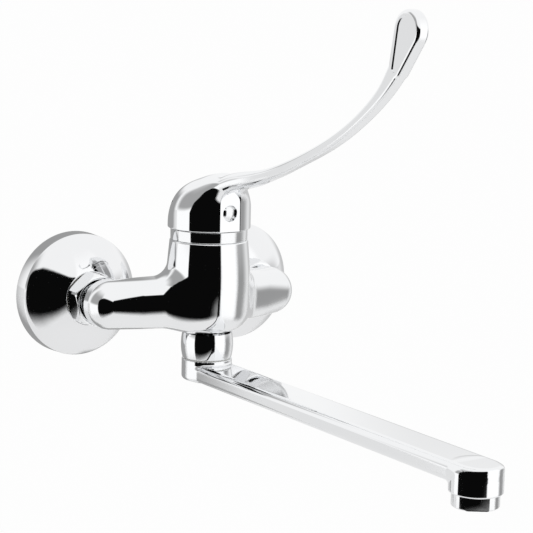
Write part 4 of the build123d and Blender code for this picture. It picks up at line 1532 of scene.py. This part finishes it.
@dataclass(frozen=True)
class Card:
    """Flag or bounce card on a dome round the tap, which only the chrome sees.

    Attributes:
        name: Object name.
        tone: Brightness, 1 for white.
        columns: Azimuth, lower edge, start of the full tone and upper edge in degrees, and
            distance in metres.
        soft: Shares of the card over which its left, right and upper edges fade.
    """

    name: str
    tone: float
    columns: tuple[tuple[float, float, float, float, float], ...]
    soft: tuple[float, float, float] = (0.03, 0.03, 0.05)

    def material(self) -> bpy.types.Material:
        """Even glow that fades out towards the card's edges.

        Returns:
            The material.
        """
        mat = bpy.data.materials.new(self.name)
        mat.use_nodes = True
        tree = mat.node_tree
        tree.nodes.clear()
        place = add_node(tree, "UVMap")
        parts = add_node(tree, "SeparateXYZ")
        wire(tree, place, "UV", parts, "Vector")
        left, right, high = self.soft
        fades = (("X", 0, left), ("X", 1, 1 - right), ("Y", 0, 0.5), ("Y", 1, 1 - high))
        cover: tuple[bpy.types.Node, str] | None = None
        for socket, start, full in fades:
            edge = add_node(tree, "MapRange", From_Min=start, From_Max=full)
            edge.interpolation_type = "SMOOTHSTEP"
            wire(tree, parts, socket, edge, "Value")
            if cover is None:
                cover = (edge, "Result")
                continue
            both = add_node(tree, "Math")
            both.operation = "MULTIPLY"
            wire(tree, *cover, both, 0)
            wire(tree, edge, "Result", both, 1)
            cover = (both, "Value")
        glow = add_node(tree, "Emission", Color=(self.tone, self.tone, self.tone, 1))
        mix = add_node(tree, "MixShader")
        wire(tree, *cover, mix, "Fac")
        wire(tree, add_node(tree, "BsdfTransparent"), "BSDF", mix, 1)
        wire(tree, glow, "Emission", mix, 2)
        wire(tree, mix, "Shader", add_node(tree, "OutputMaterial"), "Surface")
        return mat

    def build(self, centre: Vector) -> bpy.types.Object:
        """Bend a grid onto the dome between the card's edges.

        Args:
            centre: Middle of the dome, in metres.

        Returns:
            The card.
        """
        bm = bmesh.new()
        uv = bm.loops.layers.uv.new("UVMap")
        bmesh.ops.create_grid(bm, x_segments=48, y_segments=24, size=0.5, calc_uvs=True)
        turns, *edges = np.array(self.columns).T
        for vert in bm.verts:
            u, v = vert.co.x + 0.5, vert.co.y + 0.5
            for loop in vert.link_loops:
                loop[uv].uv = (u, v)
            turn = turns[0] + (turns[-1] - turns[0]) * u
            low, full, high, distance = (np.interp(turn, turns, row) for row in edges)
            rise = low + (full - low) * v * 2 if v < 0.5 else full + (high - full) * (v * 2 - 1)
            vert.co = centre + toward(turn, rise) * distance
        obj = enter(self.name, bm)
        obj.data.materials.append(self.material())
        obj.visible_camera = False
        obj.visible_diffuse = False
        obj.visible_shadow = False
        obj.visible_transmission = False
        return obj


CARDS = (
    Card(
        "low_surround", 0.56,
        ((-180, -89, -55, -8, 1.44), (180, -89, -55, -8, 1.44)),
        (0, 0, 0.3),
    ),
    Card(
        "high_surround", 0.70,
        ((-180, 10, 34, 89, 1.43), (180, 10, 34, 89, 1.43)),
        (0, 0, 0),
    ),
    Card(
        "left_box", 1.1,
        ((-136, -42, -20, 6, 1.36), (-86, -42, -20, 6, 1.36)),
        (0.12, 0.05, 0.1),
    ),
    Card(
        "left_grey", 0.40,
        ((-140, 0, 10, 66, 1.34), (-64, 0, 10, 66, 1.34)),
        (0.2, 0.2, 0.3),
    ),
    Card(
        "right_box", 1.13,
        ((4, -40, -16, 62, 1.36), (58, -40, -16, 62, 1.36)),
        (0.1, 0.2, 0.3),
    ),
    Card(
        "right_grey", 0.34,
        ((53, -38, -20, 14, 1.32), (104, -38, -20, 14, 1.32)),
        (0.2, 0.6, 0.3),
    ),
    Card(
        "far_back", 0.60,
        ((104, -40, -20, 24, 1.32), (142, -40, -20, 24, 1.32)),
        (0.4, 0.2, 0.3),
    ),
    Card(
        "near_back", 0.36,
        ((146, -62, -48, 52, 0.23), (160, -60, -46, 50, 0.205),
         (180, -56, -42, 48, 0.19), (200, -60, -46, 50, 0.205),
         (222, -62, -48, 52, 0.26)),
        (0.2, 0.2, 0.1),
    ),
    Card(
        "black_flag", 0.003,
        ((-88, -52, -22, 22, 0.44), (-80, -54, -25, 33, 0.415), (-68, -54, -27, 39, 0.397),
         (-58, -51, -27, 39, 0.395), (-44, -47, -26, 37, 0.413), (-30, -42, -23, 33, 0.462),
         (-18, -36, -18, 28, 0.543), (-8, -31, -14, 23, 0.665), (6, -28, -12, 18, 0.98)),
        (0.02, 0.03, 0.04),
    ),
)


@dataclass
class Studio:
    """White product studio: camera, floor, soft lamp and the cards that the chrome mirrors.

    Attributes:
        eye: Camera place, in millimetres.
        heading: Camera azimuth, elevation and roll, in degrees.
        lens: Focal length on a 36 mm sensor.
        middle: Middle of the dome of cards, in metres.
        floor_z: Height of the floor, in metres.
        floor_size: Half of the floor's width, in metres.
        floor_glow: Share of the floor's look that is plain white to the eye.
        world_light: Strength of the world as light.
        lamp_size: Width and height of the lamp, in metres.
        lamp_watts: Power of the lamp.
        lamp_place: Azimuth and elevation of the lamp in degrees, and distance in metres.
    """

    eye: tuple[float, float, float] = (-552.5, -968.74, 199.25)
    heading: tuple[float, float, float] = (-33.32, 9.50, 1.33)
    lens: float = 1832.7 / 533 * 36
    middle: tuple[float, float, float] = (-0.02, -0.07, 0.0)
    floor_z: float = -1.5
    floor_size: float = 150.0
    floor_glow: float = 0.92
    world_light: float = 0.85
    lamp_size: tuple[float, float] = (1.5, 1.1)
    lamp_watts: float = 6.5
    lamp_place: tuple[float, float, float] = (35, 42, 1.9)

    def camera(self) -> bpy.types.Object:
        """Set the camera where the photograph was taken from.

        Returns:
            The camera object.
        """
        a, e, s = (math.radians(v) for v in self.heading)
        ahead = Vector((-math.sin(a) * math.cos(e), math.cos(a) * math.cos(e), -math.sin(e)))
        right = Vector((math.cos(a), math.sin(a), 0))
        up = right.cross(ahead)
        rolled_right = math.cos(s) * right + math.sin(s) * up
        rolled_up = math.cos(s) * up - math.sin(s) * right
        data = bpy.data.cameras.new("camera")
        data.lens = self.lens
        data.sensor_width = 36.0
        data.clip_start = 0.05
        data.clip_end = 300.0
        cam = bpy.data.objects.new("camera", data)
        bpy.context.scene.collection.objects.link(cam)
        turn = Matrix((rolled_right, rolled_up, -ahead)).transposed().to_4x4()
        cam.matrix_world = Matrix.Translation(Vector(self.eye) * MM) @ turn
        bpy.context.scene.camera = cam
        return cam

    def world(self) -> None:
        """White surroundings: full white to the eye and in the chrome, softer as light."""
        world = bpy.data.worlds.new("studio_world")
        bpy.context.scene.world = world
        world.use_nodes = True
        tree = world.node_tree
        back = set_sockets(tree.nodes["Background"], Color=(1, 1, 1, 1))
        path = add_node(tree, "LightPath")
        seen = add_node(tree, "Math")
        seen.operation = "MAXIMUM"
        wire(tree, path, "Is Camera Ray", seen, 0)
        wire(tree, path, "Is Glossy Ray", seen, 1)
        level = add_node(tree, "MapRange", To_Min=self.world_light, To_Max=1.0)
        wire(tree, seen, "Value", level, "Value")
        wire(tree, level, "Result", back, "Strength")

    def floor(self) -> bpy.types.Object:
        """Wide pale floor far below the tap, white to the eye.

        Returns:
            The floor.
        """
        bm = bmesh.new()
        bmesh.ops.create_grid(bm, x_segments=4, y_segments=4, size=self.floor_size)
        bmesh.ops.translate(bm, vec=(0, 0, self.floor_z), verts=bm.verts)
        obj = enter("floor", bm)
        mat = bpy.data.materials.new("pale_floor")
        mat.use_nodes = True
        tree = mat.node_tree
        shader = tree.nodes["Principled BSDF"]
        set_sockets(shader, Base_Color=(0.97, 0.97, 0.97, 1), Roughness=0.9, Specular_IOR_Level=0.0)
        path = add_node(tree, "LightPath")
        part = add_node(tree, "Math")
        part.operation = "MULTIPLY"
        part.inputs[1].default_value = self.floor_glow
        glow = add_node(tree, "Emission")
        mix = add_node(tree, "MixShader")
        wire(tree, path, "Is Camera Ray", part, 0)
        wire(tree, part, "Value", mix, "Fac")
        wire(tree, shader, "BSDF", mix, 1)
        wire(tree, glow, "Emission", mix, 2)
        wire(tree, mix, "Shader", tree.nodes["Material Output"], "Surface")
        obj.data.materials.append(mat)
        return obj

    def lamp(self) -> bpy.types.Object:
        """Large soft lamp, up on the right, which the chrome doesn't mirror.

        Returns:
            The lamp.
        """
        data = bpy.data.lights.new("soft_lamp", "AREA")
        data.shape = "RECTANGLE"
        data.size, data.size_y = self.lamp_size
        data.energy = self.lamp_watts
        obj = bpy.data.objects.new("soft_lamp", data)
        bpy.context.scene.collection.objects.link(obj)
        azimuth, elevation, distance = self.lamp_place
        way = toward(azimuth, elevation)
        turn = way.to_track_quat("Z", "Y").to_matrix().to_4x4()
        obj.matrix_world = Matrix.Translation(Vector(self.middle) + way * distance) @ turn
        obj.visible_glossy = False
        return obj

    def build(self) -> None:
        """Set the view transform, the world and the stage."""
        bpy.context.scene.view_settings.view_transform = "Standard"
        self.world()
        self.floor()
        self.lamp()
        for card in CARDS:
            card.build(Vector(self.middle))


# ---------------------------------------------------------------- whole tap


def main() -> None:
    """Build the tap from body to small parts, then the studio round it."""
    logging.basicConfig(level=logging.INFO, format="%(name)s: %(message)s")
    studio = Studio()
    studio.camera()
    body = BodyCasting()
    lever = Lever()
    spout = SpoutAssembly()
    inner = InnerParts()
    built = [body.build(), lever.build(), lever.build_plug(), inner.build_cover_ring()]
    built += [spout.build(), spout.build_collar(), spout.build_aerator()]
    for side in Side:
        built += WallConnection(side).build()
    for obj in built:
        log.info("%s: %d faces", obj.name, len(obj.data.polygons))
    log.info("dressed %d CAD pieces", inner.dress())
    studio.build()
    log.info("studio ready")


if __name__ == "__main__":
    main()
